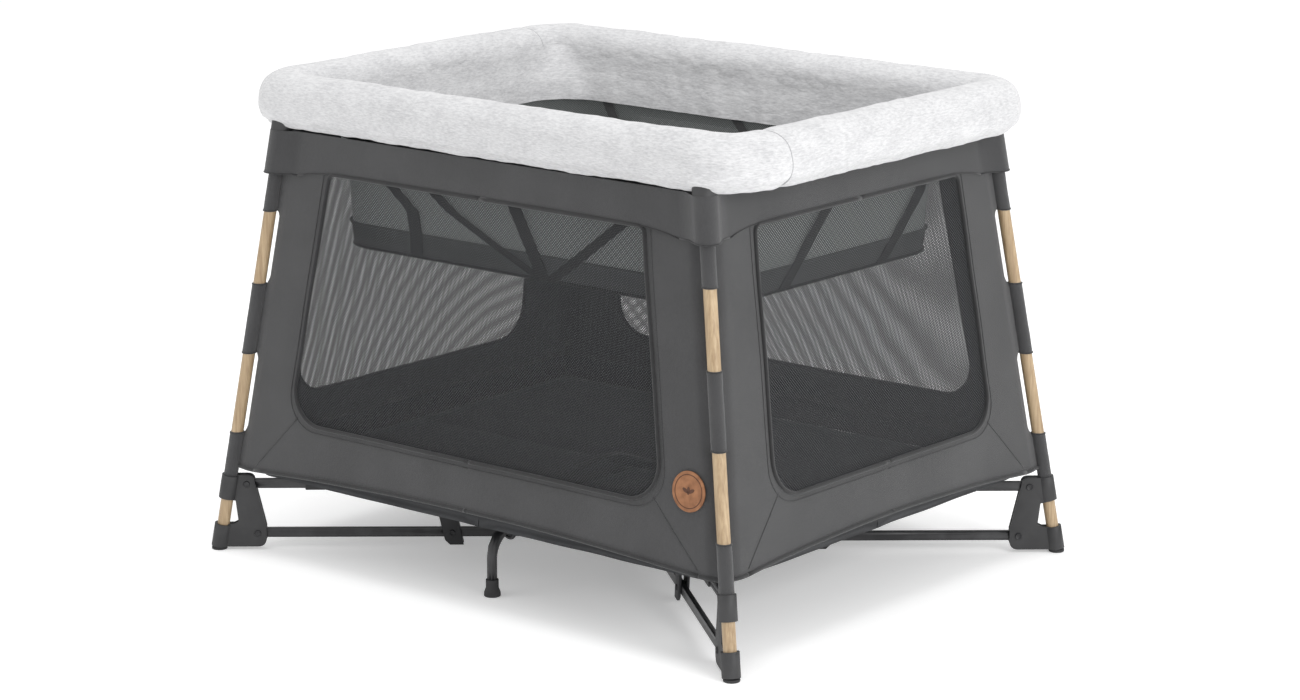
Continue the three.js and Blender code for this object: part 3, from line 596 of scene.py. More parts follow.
# ---- the four sides -------------------------------------------------
class Side:
    """One wall of the pen: u runs along it from its middle, z up, and `off` outwards from the leg line."""

    def __init__(self, name, long_side, sign, window_top, window_bottom):
        self.name = name
        self.long_side = long_side
        self.sign = sign
        self.window_top = window_top
        self.window_bottom = window_bottom
        self.outward = Vector((0, sign, 0)) if long_side else Vector((sign, 0, 0))
        self.along = Vector((1, 0, 0)) if long_side else Vector((0, 1, 0))

    def place(self, u, z, off=0.0):
        if self.long_side:
            return Vector((u, self.sign * (leg_y(z) + off), z))
        return Vector((self.sign * (leg_x(z) + off), u, z))

    def within(self, u, reach, z):
        """A point inside the pen, `reach` from its middle towards this side."""
        return Vector((u, self.sign * reach, z)) if self.long_side else Vector((self.sign * reach, u, z))

    def edge(self, z):
        leg = leg_x(z) if self.long_side else leg_y(z)
        return leg - WALL_CORNER_RADIUS - WALL_CORNER_FLAT

    def corner(self, half):
        signs = (half, self.sign) if self.long_side else (self.sign, half)
        return CORNER_NAME[signs]

    def half_name(self, half):
        return f"{self.name}_{'a' if half < 0 else 'b'}"


SIDES = [
    Side("front", True, -1, 0.315, 0.370),
    Side("right", False, 1, 0.255, 0.277),
    Side("rear", True, 1, 0.315, 0.370),
    Side("left", False, -1, 0.255, 0.277),
]


def stepped(points, step=0.012):
    """The same line with more points, so that it can follow slack cloth."""
    line = [points[0]]
    for (u0, z0), (u1, z1) in zip(points, points[1:]):
        count = max(1, int(math.hypot(u1 - u0, z1 - z0) / step))
        line += [(u0 + (u1 - u0) * i / count, z0 + (z1 - z0) * i / count) for i in range(1, count + 1)]
    return line


def ripple(at, size, height):
    return noise.noise(at / size) * height


def wall_bottom(side, u):
    reach = side.edge(WALL_CORNER_BOTTOM)
    return WALL_MIDDLE_BOTTOM - (WALL_MIDDLE_BOTTOM - WALL_CORNER_BOTTOM) * (u / reach) ** 2


def window_line(side, inset=0.0, past=0.0):
    """Half of the window's edge, from the middle of its top to the middle of its bottom, and `past` it."""
    top = WINDOW_TOP - inset
    bottom = WINDOW_BOTTOM + inset
    narrow = side.window_top - inset
    wide = side.window_bottom - inset
    r_top = WINDOW_TOP_RADIUS
    r_low = WINDOW_BOTTOM_RADIUS
    slope = math.degrees(math.atan2(wide - narrow, top - bottom))
    upper = arc((narrow - r_top, top - r_top), r_top, 90, slope, 4)
    lower = arc((wide - r_low - 0.003, bottom + r_low), r_low, slope, -90, 12)
    return [(-past, top)] + upper + lower + [(-past, bottom)]


def wall_outline(side):
    reach = side.edge(WALL_CORNER_BOTTOM)
    low = [(reach * i / 16, wall_bottom(side, reach * i / 16)) for i in range(17)]
    return low + [(side.edge(WALL_TOP), WALL_TOP), (0, WALL_TOP)] + window_line(side, WINDOW_LAP)


def fold_flat(made, side, half):
    """A half wall is attached to its own leg and moves with it as the frame folds."""
    anchor = side.place(half * side.edge(0.4), 0.4)
    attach(made, "leg_" + side.corner(half))
    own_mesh(made)


def wall_half(side, half):
    name = side.half_name(half)

    def slack(at):
        reach = abs(at.dot(side.along))
        fade = min(1.0, max(0.0, (side.edge(at.z) - reach) / 0.06))
        return side.outward * ripple(at + side.outward, 0.12, 0.0018) * fade

    def on_cloth(u, z):
        at = side.place(half * u, z)
        return at + slack(at)

    bm = facing(filled_outline(wall_outline(side), WALL_GRID, on_cloth), side.outward)
    flat = (side.edge(WALL_CORNER_BOTTOM), WALL_TOP - WALL_CORNER_BOTTOM)
    cloth = sewn(f"wall_cloth_{name}", bm, CLOTH, "charcoal_fabric", WALL_CLOTH_THICK, flat,
                 ["leg_tube_" + side.corner(half)])
    fold_flat(cloth, side, half)
    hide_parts(f"wall_{side.name}")

    def on_net(u, z):
        at = side.place(half * u, z, -0.0007)
        return at + slack(at)

    bm = facing(filled_outline(window_line(side, -0.001), WALL_GRID, on_net), side.outward)
    flat = (side.window_bottom + 0.002, WINDOW_TOP - WINDOW_BOTTOM + 0.004)
    net = sewn(f"window_net_{name}", bm, NET, "net", 0, flat, [cloth.name])
    fold_flat(net, side, half)
    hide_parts(f"window_net_{side.name}")

    def trim(label, line, on_sheet, off, radius, material, sides=3):
        points = [on_sheet(u, z) + side.outward * off for u, z in line]
        made = tube(f"{label}_{name}", points, radius, material, "charcoal_fabric", sides=sides)
        fold_flat(made, side, half)

    edge_line = stepped(window_line(side, 0.001, 0.003))
    trim("window_piping", edge_line, on_cloth, 0.0012, PIPING_RADIUS, BINDING)
    stitch_line = stepped(window_line(side, -0.009, 0.001))
    trim("window_stitch", stitch_line, on_cloth, 0.0004, 0.0007, THREAD, sides=1)

    reach = side.edge(WALL_CORNER_BOTTOM)
    low = [(-0.003, WALL_MIDDLE_BOTTOM)]
    low += [(reach * i / 24, wall_bottom(side, reach * i / 24)) for i in range(25)]
    trim("wall_hem", low, on_cloth, 0, BINDING_RADIUS, BINDING)

    start = Vector((side.window_bottom - 0.012, WINDOW_BOTTOM + 0.010))
    end = Vector((side.edge(WALL_CORNER_BOTTOM) - 0.004, WALL_CORNER_BOTTOM + 0.008))
    seam_line = [start.lerp(end, i / 8) for i in range(9)]
    trim("corner_seam", seam_line, on_cloth, 0.0003, 0.0008, THREAD, sides=1)

    def on_band(u, z):
        return side.place(half * u, z, BAND_STAND_OFF + 0.0004)

    reach = side.edge(BAND_LEG_BOTTOM)
    fall = BAND_BOTTOM - BAND_LEG_BOTTOM
    dip = [(reach * i / 20, BAND_BOTTOM - fall * (i / 20) ** 8) for i in range(21)]
    outline = dip + [(side.edge(WALL_TOP), WALL_TOP), (0, WALL_TOP)]
    bm = facing(filled_outline(outline, WALL_GRID, on_band), side.outward)
    flat = (reach, WALL_TOP - BAND_LEG_BOTTOM)
    band = sewn(f"rim_band_{name}", bm, CLOTH, "charcoal_fabric", BAND_THICK, flat, [cloth.name])
    fold_flat(band, side, half)
    trim("band_edge", dip, on_band, 0.0002, 0.0011, BINDING, sides=2)


def gusset_place(place, share):
    """The floor's edge cloth slopes from inside the wall down to the top edge of the floor pads."""
    return place(GUSSET_HIGH - (GUSSET_HIGH - GUSSET_LOW) * share, -0.002 - GUSSET_RUN * share)


def gusset_half(side, half):
    bm = bmesh.new()
    bmesh.ops.create_grid(bm, x_segments=24, y_segments=3, size=0.5)
    reach = side.edge(GUSSET_LOW)
    for vert in bm.verts:
        u = (vert.co.x + 0.5) * reach
        vert.co = gusset_place(lambda z, off: side.place(half * u, z, off), vert.co.y + 0.5)
    facing(bm, Vector((0, 0, 1)))
    name = side.half_name(half)
    made = sewn("floor_gusset_" + name, bm, BINDING, "floor_fabric", BAND_THICK, (reach, GUSSET_CUT),
                ["wall_cloth_" + name])
    fold_flat(made, side, half)


def gusset_corner(name):
    sx, sy = CORNERS[name]
    bm = bmesh.new()
    bmesh.ops.create_grid(bm, x_segments=20, y_segments=3, size=0.5)
    for vert in bm.verts:
        step = vert.co.x + 0.5
        vert.co = gusset_place(lambda z, off: corner_point(sx, sy, z, step, off), vert.co.y + 0.5)
    facing(bm, Vector((0, 0, 1)))
    made = sewn("floor_gusset_" + name, bm, BINDING, "floor_fabric", BAND_THICK, (0.085, GUSSET_CUT),
                ["corner_cloth_" + name])
    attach(made, "leg_" + name)


# ---- cloth round the corners, behind each leg -----------------------
def sleeve_share(z):
    """1 where the cloth reaches out to wrap the leg, 0 where the timber shows, with a short slope between."""
    slope = 0.014
    share = 1.0 if z > SLEEVES[0][0] else 0.0
    for low, high in SLEEVES:
        inside = min((z - low) / slope + 0.5, (high - z) / slope + 0.5)
        share = max(share, min(1.0, max(0.0, inside)))
    return share


def corner_point(sx, sy, z, step, off):
    """A point on the corner's section: step 0 and 1 lie on the two walls, with the bend between them."""
    flat = WALL_CORNER_FLAT / (2 * WALL_CORNER_FLAT + WALL_CORNER_RADIUS * math.pi / 2)
    r = WALL_CORNER_RADIUS
    if step < flat:
        x, y = r + off, -WALL_CORNER_FLAT * (1 - step / flat)
        swell = 0
    elif step > 1 - flat:
        x, y = -WALL_CORNER_FLAT * (1 - (1 - step) / flat), r + off
        swell = 0
    else:
        turn = (step - flat) / (1 - 2 * flat)
        angle = turn * math.pi / 2
        wrap = math.exp(-(((turn - 0.5) / 0.17) ** 2)) * sleeve_share(z)
        swell = wrap * (r * (math.sqrt(2) - 1) - TUBE_RADIUS * 0.9)
        x, y = (r + off) * math.cos(angle), (r + off) * math.sin(angle)
    x += swell * math.sqrt(0.5)
    y += swell * math.sqrt(0.5)
    return Vector((sx * (leg_x(z) - r + x), sy * (leg_y(z) - r + y), z))


def corner_cloth(name):
    sx, sy = CORNERS[name]
    height = WALL_TOP - WALL_CORNER_BOTTOM
    girth = 2 * WALL_CORNER_FLAT + WALL_CORNER_RADIUS * math.pi / 2
    bm = bmesh.new()
    bmesh.ops.create_grid(bm, x_segments=30, y_segments=int(height / 0.006), size=0.5)
    for vert in bm.verts:
        z = WALL_CORNER_BOTTOM + height * (vert.co.y + 0.5)
        vert.co = corner_point(sx, sy, z, vert.co.x + 0.5, 0)
    facing(bm, Vector((sx, sy, 0)))
    flat = (girth * 1.3, height)
    made = sewn("corner_cloth_" + name, bm, CLOTH, "charcoal_fabric", CORNER_CLOTH_THICK, flat,
                ["timber_leg_" + name])
    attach(made, "leg_" + name)


def band_section():
    """The top band's line round a corner: along one wall, round the boot and on along the other."""
    r = WALL_CORNER_RADIUS
    off = BAND_STAND_OFF + 0.0004
    start = r - 0.034
    round_boot = arc((r, r), BOOT_WRAP, -28, 118, 16)
    first = [(r + off, -WALL_CORNER_FLAT), (r + off, start)]
    second = [(y, x) for x, y in reversed(first)]
    return first + round_boot + second


def band_point(name, spot, z):
    sx, sy = CORNERS[name]
    x, y = spot
    return Vector((sx * (leg_x(z) - WALL_CORNER_RADIUS + x), sy * (leg_y(z) - WALL_CORNER_RADIUS + y), z))


def corner_band(name):
    sx, sy = CORNERS[name]
    section = band_section()
    bm = bmesh.new()
    bmesh.ops.create_grid(bm, x_segments=len(section) - 1, y_segments=8, size=0.5)
    for vert in bm.verts:
        spot = section[round((vert.co.x + 0.5) * (len(section) - 1))]
        vert.co = band_point(name, spot, BAND_LEG_BOTTOM + (WALL_TOP - BAND_LEG_BOTTOM) * (vert.co.y + 0.5))
    facing(bm, Vector((sx, sy, 0)))
    flat = (0.16, WALL_TOP - BAND_LEG_BOTTOM)
    made = sewn(f"corner_band_{name}", bm, CLOTH, "charcoal_fabric", CORNER_BAND_THICK, flat,
                ["corner_casting_" + name])
    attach(made, "leg_" + name)
    line = [band_point(name, spot, BAND_LEG_BOTTOM + 0.0005) for spot in section]
    edge = tube(f"corner_band_edge_{name}", line, 0.0011, BINDING, "charcoal_fabric", sides=2)
    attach(edge, "leg_" + name)


def leg_point(name, z, out=0.0, turn=0.0):
    sx, sy = CORNERS[name]
    return Vector((sx * leg_x(z) + out * math.cos(turn), sy * leg_y(z) + out * math.sin(turn), z))


def around_leg(name, low, high, radius, steps=2, sides=36):
    """A closed tube round the leg's line, built by drawing a circle up along it."""
    bm = bmesh.new()
    ring = bmesh.ops.create_circle(bm, cap_ends=True, segments=sides, radius=radius)["verts"]
    bmesh.ops.translate(bm, vec=leg_point(name, low), verts=ring)
    face = bm.faces[:][0]
    for i in range(steps):
        moved = bmesh.ops.extrude_face_region(bm, geom=[face])
        verts = [g for g in moved["geom"] if isinstance(g, bmesh.types.BMVert)]
        faces = [g for g in moved["geom"] if isinstance(g, bmesh.types.BMFace)]
        start = leg_point(name, low + (high - low) * i / steps)
        end = leg_point(name, low + (high - low) * (i + 1) / steps)
        bmesh.ops.translate(bm, vec=end - start, verts=verts)
        if i:
            bmesh.ops.delete(bm, geom=[face], context="FACES_ONLY")
        face = faces[0]
    bmesh.ops.recalc_face_normals(bm, faces=bm.faces)
    return bm


def timber_leg(name):
    bm = around_leg(name, TIMBER_BOTTOM, TIMBER_TOP, TUBE_RADIUS - 0.0001, 1, 48)
    made = rounded(piece(f"timber_leg_{name}", bm, TIMBER, "timber"), 0.0008)
    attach(made, "leg_" + name)
    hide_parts("leg_tube_" + name)


def sleeves(name):
    for index, (low, high) in enumerate(SLEEVES):
        bm = around_leg(name, low, high, SLEEVE_RADIUS, 8)
        for vert in bm.verts:
            vert.co.x += ripple(vert.co, 0.02, 0.0005)
            vert.co.y += ripple(vert.co + Vector((1, 0, 0)), 0.02, 0.0005)
        made = rounded(piece(f"leg_sleeve_{name}_{index + 1}", bm, CLOTH, "charcoal_fabric"), 0.0006)
        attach(made, "leg_" + name)
        hem_z = [low + 0.0015] if index == 0 else [low + 0.0015, high - 0.0015]
        for count, z in enumerate(hem_z):
            ring = [leg_point(name, z, SLEEVE_RADIUS + 0.0002, 2 * math.pi * i / 28) for i in range(28)]
            hem = tube(f"sleeve_hem_{name}_{index + 1}_{count + 1}", ring, 0.0009, BINDING, "charcoal_fabric",
                       closed=True, sides=2)
            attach(hem, "leg_" + name)


# ---- padded rim -----------------------------------------------------
def rim_section(angle):
    """Outward and upward reach of the padded tube at an angle: fuller than a circle, flatter underneath."""
    c, s = math.cos(angle), math.sin(angle)
    power = 0.86
    out = math.copysign(abs(c) ** power, c)
    up = math.copysign(abs(s) ** power, s)
    droop = 0.94 if up < 0 else 1.0
    groove = 1 - 0.055 * math.exp(-(((math.degrees(angle) + 46) / 7) ** 2)) if c > 0 else 1
    out *= groove
    up *= groove
    return out * RIM_HALF_WIDTH * (1 - 0.05 * up), up * RIM_HALF_HEIGHT * droop


def draw_out(bm, edges, direction, length):
    """Extrudes a ring of edges along `direction` in even steps; the new end ring's edges come back."""
    steps = int(length / RIM_STEP)
    for _ in range(steps):
        made = bmesh.ops.extrude_edge_only(bm, edges=edges)["geom"]
        edges = [g for g in made if isinstance(g, bmesh.types.BMEdge)]
        verts = [g for g in made if isinstance(g, bmesh.types.BMVert)]
        bmesh.ops.translate(bm, vec=direction * (length / steps), verts=verts)
    return edges


def rim_quarter():
    """A quarter of the rim, swept from the middle of the front to the middle of the right side."""
    bm = bmesh.new()
    ring = bmesh.ops.create_circle(bm, segments=52, radius=1)["verts"]
    for vert in ring:
        out, up = rim_section(math.atan2(vert.co.y, vert.co.x))
        vert.co = Vector((0, -RIM_Y - out, RIM_MIDDLE_Z + up))
    straight = RIM_X - RIM_CORNER
    edges = draw_out(bm, bm.edges[:], Vector((1, 0, 0)), straight)
    turned = bmesh.ops.spin(bm, geom=edges, cent=(straight, RIM_CORNER - RIM_Y, 0), axis=(0, 0, 1),
                            angle=math.pi / 2, steps=16, use_merge=False)
    edges = [g for g in turned["geom_last"] if isinstance(g, bmesh.types.BMEdge)]
    draw_out(bm, edges, Vector((0, 1, 0)), RIM_Y - RIM_CORNER)
    return bm


def rim_centre(at):
    """The nearest point of the rim's middle line, which is a rounded rectangle."""
    flat_x = RIM_X - RIM_CORNER
    flat_y = RIM_Y - RIM_CORNER
    x, y = abs(at.x), abs(at.y)
    if x > flat_x and y > flat_y:
        away = Vector((x - flat_x, y - flat_y)).normalized() * RIM_CORNER
        x, y = flat_x + away.x, flat_y + away.y
    elif (x - flat_x) > (y - flat_y):
        x = RIM_X
    else:
        y = RIM_Y
    return Vector((math.copysign(x, at.x), math.copysign(y, at.y), RIM_MIDDLE_Z))


def rim_shape(at):
    """Where a point of the smooth rim ends up once the padding swells, creases and meets its seams."""
    centre = rim_centre(at)
    spoke = at - centre
    swell = ripple(at, 0.11, 0.0022) + ripple(at * 1.7 + Vector((3, 1, 2)), 0.05, 0.0012)
    inner = max(0.0, -(spoke.x * centre.x + spoke.y * centre.y) / (centre.length * RIM_HALF_WIDTH))
    slant = Vector((at.x + at.z * 0.8, at.y - at.z * 0.8, at.z * 0.25))
    swell += ripple(slant * 1.3, 0.018, 0.0020) * min(1.0, inner * 1.6)
    under = max(0.0, -spoke.z / RIM_HALF_HEIGHT)
    swell += ripple(Vector((at.x, at.y, 0)), 0.016, 0.0012) * under
    if at.x * at.y < 0 and abs(at.x) > RIM_X - RIM_HALF_WIDTH - 0.01:
        swell -= 0.0030 * math.exp(-(((abs(at.y) - RIM_SEAM_Y) / 0.007) ** 2))
    return at + spoke.normalized() * swell


def whole_rim():
    bm = rim_quarter()
    first = bpy.data.meshes.new("rim_quarter")
    bm.to_mesh(first)
    bm.free()
    whole = bmesh.new()
    for sx, sy in CORNERS.values():
        copy = first.copy()
        copy.transform(Matrix.Diagonal((sx, -sy, 1, 1)))
        whole.from_mesh(copy)
    bmesh.ops.remove_doubles(whole, verts=whole.verts, dist=1e-5)
    bmesh.ops.recalc_face_normals(whole, faces=whole.faces)
    for vert in whole.verts:
        vert.co = rim_shape(vert.co)
    whole.normal_update()
    return whole


def rim_part_of(at):
    """Which named piece of the rim a point belongs to, as (corner, stretch)."""
    corner = CORNER_NAME[(1 if at.x > 0 else -1, 1 if at.y > 0 else -1)]
    x, y = abs(at.x), abs(at.y)
    flat_x = RIM_X - RIM_CORNER
    flat_y = RIM_Y - RIM_CORNER
    if (x - flat_x) < (y - flat_y):
        return corner, "long_middle" if x < RAIL_HALF_X - BLEND_ON - 0.010 else "long_corner"
    return corner, "short_middle" if y < RAIL_HALF_Y - BLEND_ON - 0.010 else "short_corner"


def cushion_piece(whole, corner, stretch):
    bm = whole.copy()
    middles = {f: f.calc_center_median() for f in bm.faces}
    others = [f for f, at in middles.items() if rim_part_of((rim_centre(at) + at) * 0.5) != (corner, stretch)]
    bmesh.ops.delete(bm, geom=others, context="FACES")
    normals = {tuple(round(c, 5) for c in v.co): n for v, n in zip(whole.verts, whole_normals)}
    rim_edges = [e for e in bm.edges if e.is_boundary]
    bmesh.ops.holes_fill(bm, edges=rim_edges, sides=0)
    made = piece(f"rim_cushion_{corner}_{stretch}", bm, MELANGE, "melange_cover")
    given = [normals[tuple(round(c, 5) for c in v.co)] for v in made.data.vertices]
    made.data.normals_split_custom_set_from_vertices(given)
    return made


def fit_to_frame(made, corner, stretch):
    """Middle stretches ride the half rail; corner stretches are only baked in place where they stand."""
    sx, sy = CORNERS[corner]
    is_long = stretch.startswith("long")
    rail = f"{'long' if is_long else 'short'}_rail_{corner}"
    if stretch.endswith("middle"):
        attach(made, rail)
        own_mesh(made)
        return
    if is_long:
        start = (sx * (RAIL_HALF_X + BLEND_BACK), sy * RIM_Y, RAIL_Z)
        end = (sx * (RAIL_HALF_X - BLEND_ON), sy * RIM_Y, RAIL_Z)
    else:
        start = (sx * RIM_X, sy * (RAIL_HALF_Y + BLEND_BACK), RAIL_Z)
        end = (sx * RIM_X, sy * (RAIL_HALF_Y - BLEND_ON), RAIL_Z)
    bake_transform(made)


def make_rim():
    for corner in CORNERS:
        for stretch in ("long_middle", "long_corner", "short_corner", "short_middle"):
            made = cushion_piece(whole, corner, stretch)
            fit_to_frame(made, corner, stretch)
    first = {"front": "front_left", "right": "front_right", "rear": "rear_right", "left": "rear_left"}
    for side, corner in first.items():
        stretch = "long_middle" if side in ("front", "rear") else "short_middle"
        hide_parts(f"rim_cushion_{side}")
    for corner in ("front_right", "rear_left"):
        sx, sy = CORNERS[corner]
        section = [rim_section(2 * math.pi * i / 48) for i in range(48)]
        loop = [rim_shape(Vector((sx * (RIM_X + out), sy * RIM_SEAM_Y, RIM_MIDDLE_Z + up)))
                for out, up in section]
        seam = tube(f"rim_seam_{corner}", loop, 0.0007, PALE_THREAD, "melange_cover", closed=True, sides=1)
        fit_to_frame(seam, corner, "short_corner")


# ---- floor pads -----------------------------------------------------
def floor_pad(corner):
    sx, sy = CORNERS[corner]
    reach_x = leg_x(FLOOR_TOP) - FLOOR_EDGE
    reach_y = leg_y(FLOOR_TOP) - FLOOR_EDGE
    outer = arc((reach_x - FLOOR_CORNER, reach_y - FLOOR_CORNER), FLOOR_CORNER, 0, 90, 8)
    points = [(FLOOR_HANDLE[0], 0), (reach_x, 0)] + outer
    points += [(0, reach_y), (0, FLOOR_HANDLE[1]), (FLOOR_HANDLE[0], FLOOR_HANDLE[1])]

    def on_floor(u, v):
        margin = min(u, reach_x - u, v, reach_y - v, 0.04) / 0.04
        crown = 0.005 * math.sin(max(0.0, margin) * math.pi / 2) - 0.005
        at = Vector((sx * u, sy * v, 0))
        return at + Vector((0, 0, FLOOR_TOP + crown + ripple(at, 0.09, 0.0012)))

    bm = facing(filled_outline(points, 0.020, on_floor), Vector((0, 0, 1)))
    made = thicken(piece(f"floor_cushion_{corner}", bm, FLOOR_CLOTH, "floor_fabric"), FLOOR_THICK - 0.004)
    rounded(made, 0.004, 3, math.radians(55))
    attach(made, "upper_arm_" + corner)
    across = Vector((-sy * RAIL_HALF_Y, sx * RAIL_HALF_X, 0)).normalized()
    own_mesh(made)
    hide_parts("floor_pad_" + corner)
    line = [on_floor(u, v) + Vector((0, 0, 0.0002)) for u, v in
            [(0.004, 0.022 + i * (reach_y - 0.03) / 20) for i in range(21)]]
    seam = tube(f"floor_binding_{corner}", line, 0.0022, BINDING, "floor_fabric", sides=2)
    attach(seam, "upper_arm_" + corner)
    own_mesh(seam)


# ---- bassinet -------------------------------------------------------
def round_point(turn, half_x, half_y, r, z):
    """A point of a rounded rectangle at height z, turn running 0 to 1 round it."""
    quarter = int(turn * 4) % 4
    part = turn * 4 - int(turn * 4)
    sx, sy = ((1, 1), (-1, 1), (-1, -1), (1, -1))[quarter]
    first, second = (half_y - r, half_x - r) if quarter % 2 == 0 else (half_x - r, half_y - r)
    bend = r * math.pi / 2
    along = part * (first + bend + second)
    if along < first:
        a, b = (half_x, along) if quarter % 2 == 0 else (along, half_y)
    elif along < first + bend:
        angle = (along - first) / r
        c, s = r * math.cos(angle), r * math.sin(angle)
        a, b = (half_x - r + c, half_y - r + s) if quarter % 2 == 0 else (half_x - r + s, half_y - r + c)
    else:
        rest = second - (along - first - bend)
        a, b = (rest, half_y) if quarter % 2 == 0 else (half_x, rest)
    return Vector((sx * a, sy * b, z))


def tub_point(turn, z, off=0.0):
    share = (z - BASSINET_LOW[2]) / (BASSINET_HIGH[2] - BASSINET_LOW[2])
    half_x = BASSINET_LOW[0] + (BASSINET_HIGH[0] - BASSINET_LOW[0]) * share + off
    half_y = BASSINET_LOW[1] + (BASSINET_HIGH[1] - BASSINET_LOW[1]) * share + off
    return round_point(turn, half_x, half_y, BASSINET_CORNER, z)


FLAP_ROWS = [(0.738, 0.0425, 0.0425, 0.016), (0.730, 0.0450, 0.0448, 0.026), (0.718, 0.0480, 0.0465, 0.042),
             (0.704, 0.0520, 0.0495, 0.060), (0.692, 0.0570, 0.0535, 0.074), (0.680, 0.0610, 0.0575, 0.078),
             (0.667, 0.0650, 0.0610, 0.078), (0.655, 0.0680, 0.0635, 0.078)]


def rim_skirt():
    """The rim cover's inner flap, which hangs from the padding over the bassinet's top edge."""
    bm = bmesh.new()
    rows = len(FLAP_ROWS) - 1
    bmesh.ops.create_grid(bm, x_segments=320, y_segments=rows, size=0.5)
    for vert in bm.verts:
        z, inset_x, inset_y, r = FLAP_ROWS[round((0.5 - vert.co.y) * rows)]
        at = round_point((vert.co.x + 0.5) % 1.0, RIM_X - inset_x, RIM_Y - inset_y, r, z)
        loose = (FLAP_ROWS[0][0] - z) / 0.03
        crease = ripple(Vector((at.x + z * 0.3, at.y - z * 0.3, z * 0.25)), 0.016, 0.0030) * min(1.0, loose)
        vert.co = at + Vector((at.x, at.y, 0)).normalized() * crease
    bmesh.ops.remove_doubles(bm, verts=bm.verts, dist=1e-5)
    inwards = [f for f in bm.faces if f.normal.dot(Vector((*f.calc_center_median().xy, 0))) > 0]
    bm.normal_update()
    bmesh.ops.reverse_faces(bm, faces=inwards)
    flat = (2.9, 0.092)
    flap = sewn("rim_inner_flap", bm, MELANGE, "melange_cover", BAND_THICK, flat, ["bassinet_net"])
    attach(flap, "bassinet")


def tub_sheet(low, high, rows, off, sag):
    bm = bmesh.new()
    bmesh.ops.create_grid(bm, x_segments=176, y_segments=rows, size=0.5)
    for vert in bm.verts:
        share = vert.co.y + 0.5
        turn = (vert.co.x + 0.5) % 1.0
        z = low + (high - low) * share
        at = tub_point(turn, z, off)
        inwards = Vector((at.x, at.y, 0)).normalized()
        vert.co = at - inwards * (sag * math.sin(share * math.pi) + ripple(at, 0.07, sag * 0.35))
    bmesh.ops.remove_doubles(bm, verts=bm.verts, dist=1e-5)
    bmesh.ops.recalc_face_normals(bm, faces=bm.faces)
    outside = [f for f in bm.faces if f.normal.dot(Vector((*f.calc_center_median().xy, 0))) < 0]
    if len(outside) > len(bm.faces) / 2:
        bmesh.ops.reverse_faces(bm, faces=bm.faces)
    return bm


def bassinet_round():
    return sum((tub_point((i + 1) / 200, BASSINET_LOW[2]) - tub_point(i / 200, BASSINET_LOW[2])).length
               for i in range(200))


def make_bassinet():
    girth = bassinet_round() * 1.02
    z0, z1 = BASSINET_LOW[2], BASSINET_HIGH[2]
    rail = ["long_rail_front_left"]
    side_cut = (girth, z1 - z0 - BAND_HEIGHT + 0.004)
    # The outer net sheet takes the lit, glowing copy of the net (painted light).
    bm = tub_sheet(z0 + BAND_HEIGHT - 0.002, z1, 14, -0.001, BASSINET_SAG)
    net = sewn("bassinet_net", bm, LIT_BASSINET_NET, "bassinet_fabric", 0, side_cut, rail)
    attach(net, "bassinet")
    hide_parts("bassinet")
    # A second, darker net sheet just inside the outer one: painted shade for the bassinet's inside.
    bm = tub_sheet(z0 + BAND_HEIGHT - 0.002, z1 - 0.002, 14, -0.003, BASSINET_SAG)
    shade_lining = sewn("bassinet_shade_lining", bm, SHADED_LINING_NET, "bassinet_fabric", 0, side_cut, rail)
    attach(shade_lining, "bassinet")
    bm = tub_sheet(z0, z0 + BAND_HEIGHT, 6, 0.0, -0.0015)
    flat = (girth, BAND_HEIGHT * 1.05)
    band = sewn("bassinet_lower_band", bm, BASSINET_BAND, "bassinet_fabric", 0.0016, flat,
                ["bassinet_net"])
    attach(band, "bassinet")
    bm = tub_sheet(z1 - 0.024, z1, 3, 0.0004, 0.0)
    top = sewn("bassinet_top_band", bm, BINDING, "bassinet_fabric", 0.0014, (girth * 1.03, 0.0245),
               ["bassinet_net"])
    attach(top, "bassinet")
    for label, z, material in (("low", z0 + 0.001, BINDING), ("high", z0 + BAND_HEIGHT, BASSINET_BAND)):
        loop = [tub_point(i / 160, z, 0.0012) for i in range(160)]
        cord = tube(f"bassinet_piping_{label}", loop, 0.0026, material, "bassinet_fabric", closed=True)
        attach(cord, "bassinet")
    bassinet_cushion("bassinet_mattress", z0 + 0.0035, BASSINET_PAD_TOP, 0.010)


def bassinet_cushion(name, low, high, inset):
    """The bassinet's mattress: a rounded rectangle, crowned and drawn in at its quilting lines."""
    outline = [tub_point(i / 96, BASSINET_LOW[2], -inset).xy for i in range(96)]

    def on_top(u, v):
        edge = min(BASSINET_LOW[0] - inset - abs(u), BASSINET_LOW[1] - inset - abs(v), 0.03) / 0.03
        crown = 0.004 * math.sin(max(0.0, edge) * math.pi / 2) - 0.004
        quilt = -0.0018 * max(math.exp(-((math.sin(u / 0.092 * math.pi) / 0.12) ** 2)), 0)
        return Vector((u, v, high - 0.0005 + crown + quilt))

    bm = facing(filled_outline(outline, 0.015, on_top), Vector((0, 0, 1)))
    made = thicken(piece(name, bm, FLOOR_CLOTH, "floor_fabric"), high - low - 0.005)
    rounded(made, 0.004, 3, math.radians(55))
    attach(made, "bassinet")
    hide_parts("bassinet_pad")


def ribbon(name, points, width, along, material):
    """Flat webbing through points, its width lying along `along`."""
    bm = bmesh.new()
    rows = [[bm.verts.new(at + along * (half * width)) for half in (-0.5, 0.5)] for at in points]
    for first, second in zip(rows, rows[1:]):
        bm.faces.new((first[0], first[1], second[1], second[0]))
    bmesh.ops.subdivide_edges(bm, edges=bm.edges[:], cuts=1, use_grid_fill=True)
    bmesh.ops.recalc_face_normals(bm, faces=bm.faces)
    return thicken(piece(name, bm, material, "floor_fabric"), STRAP_THICK, 0)


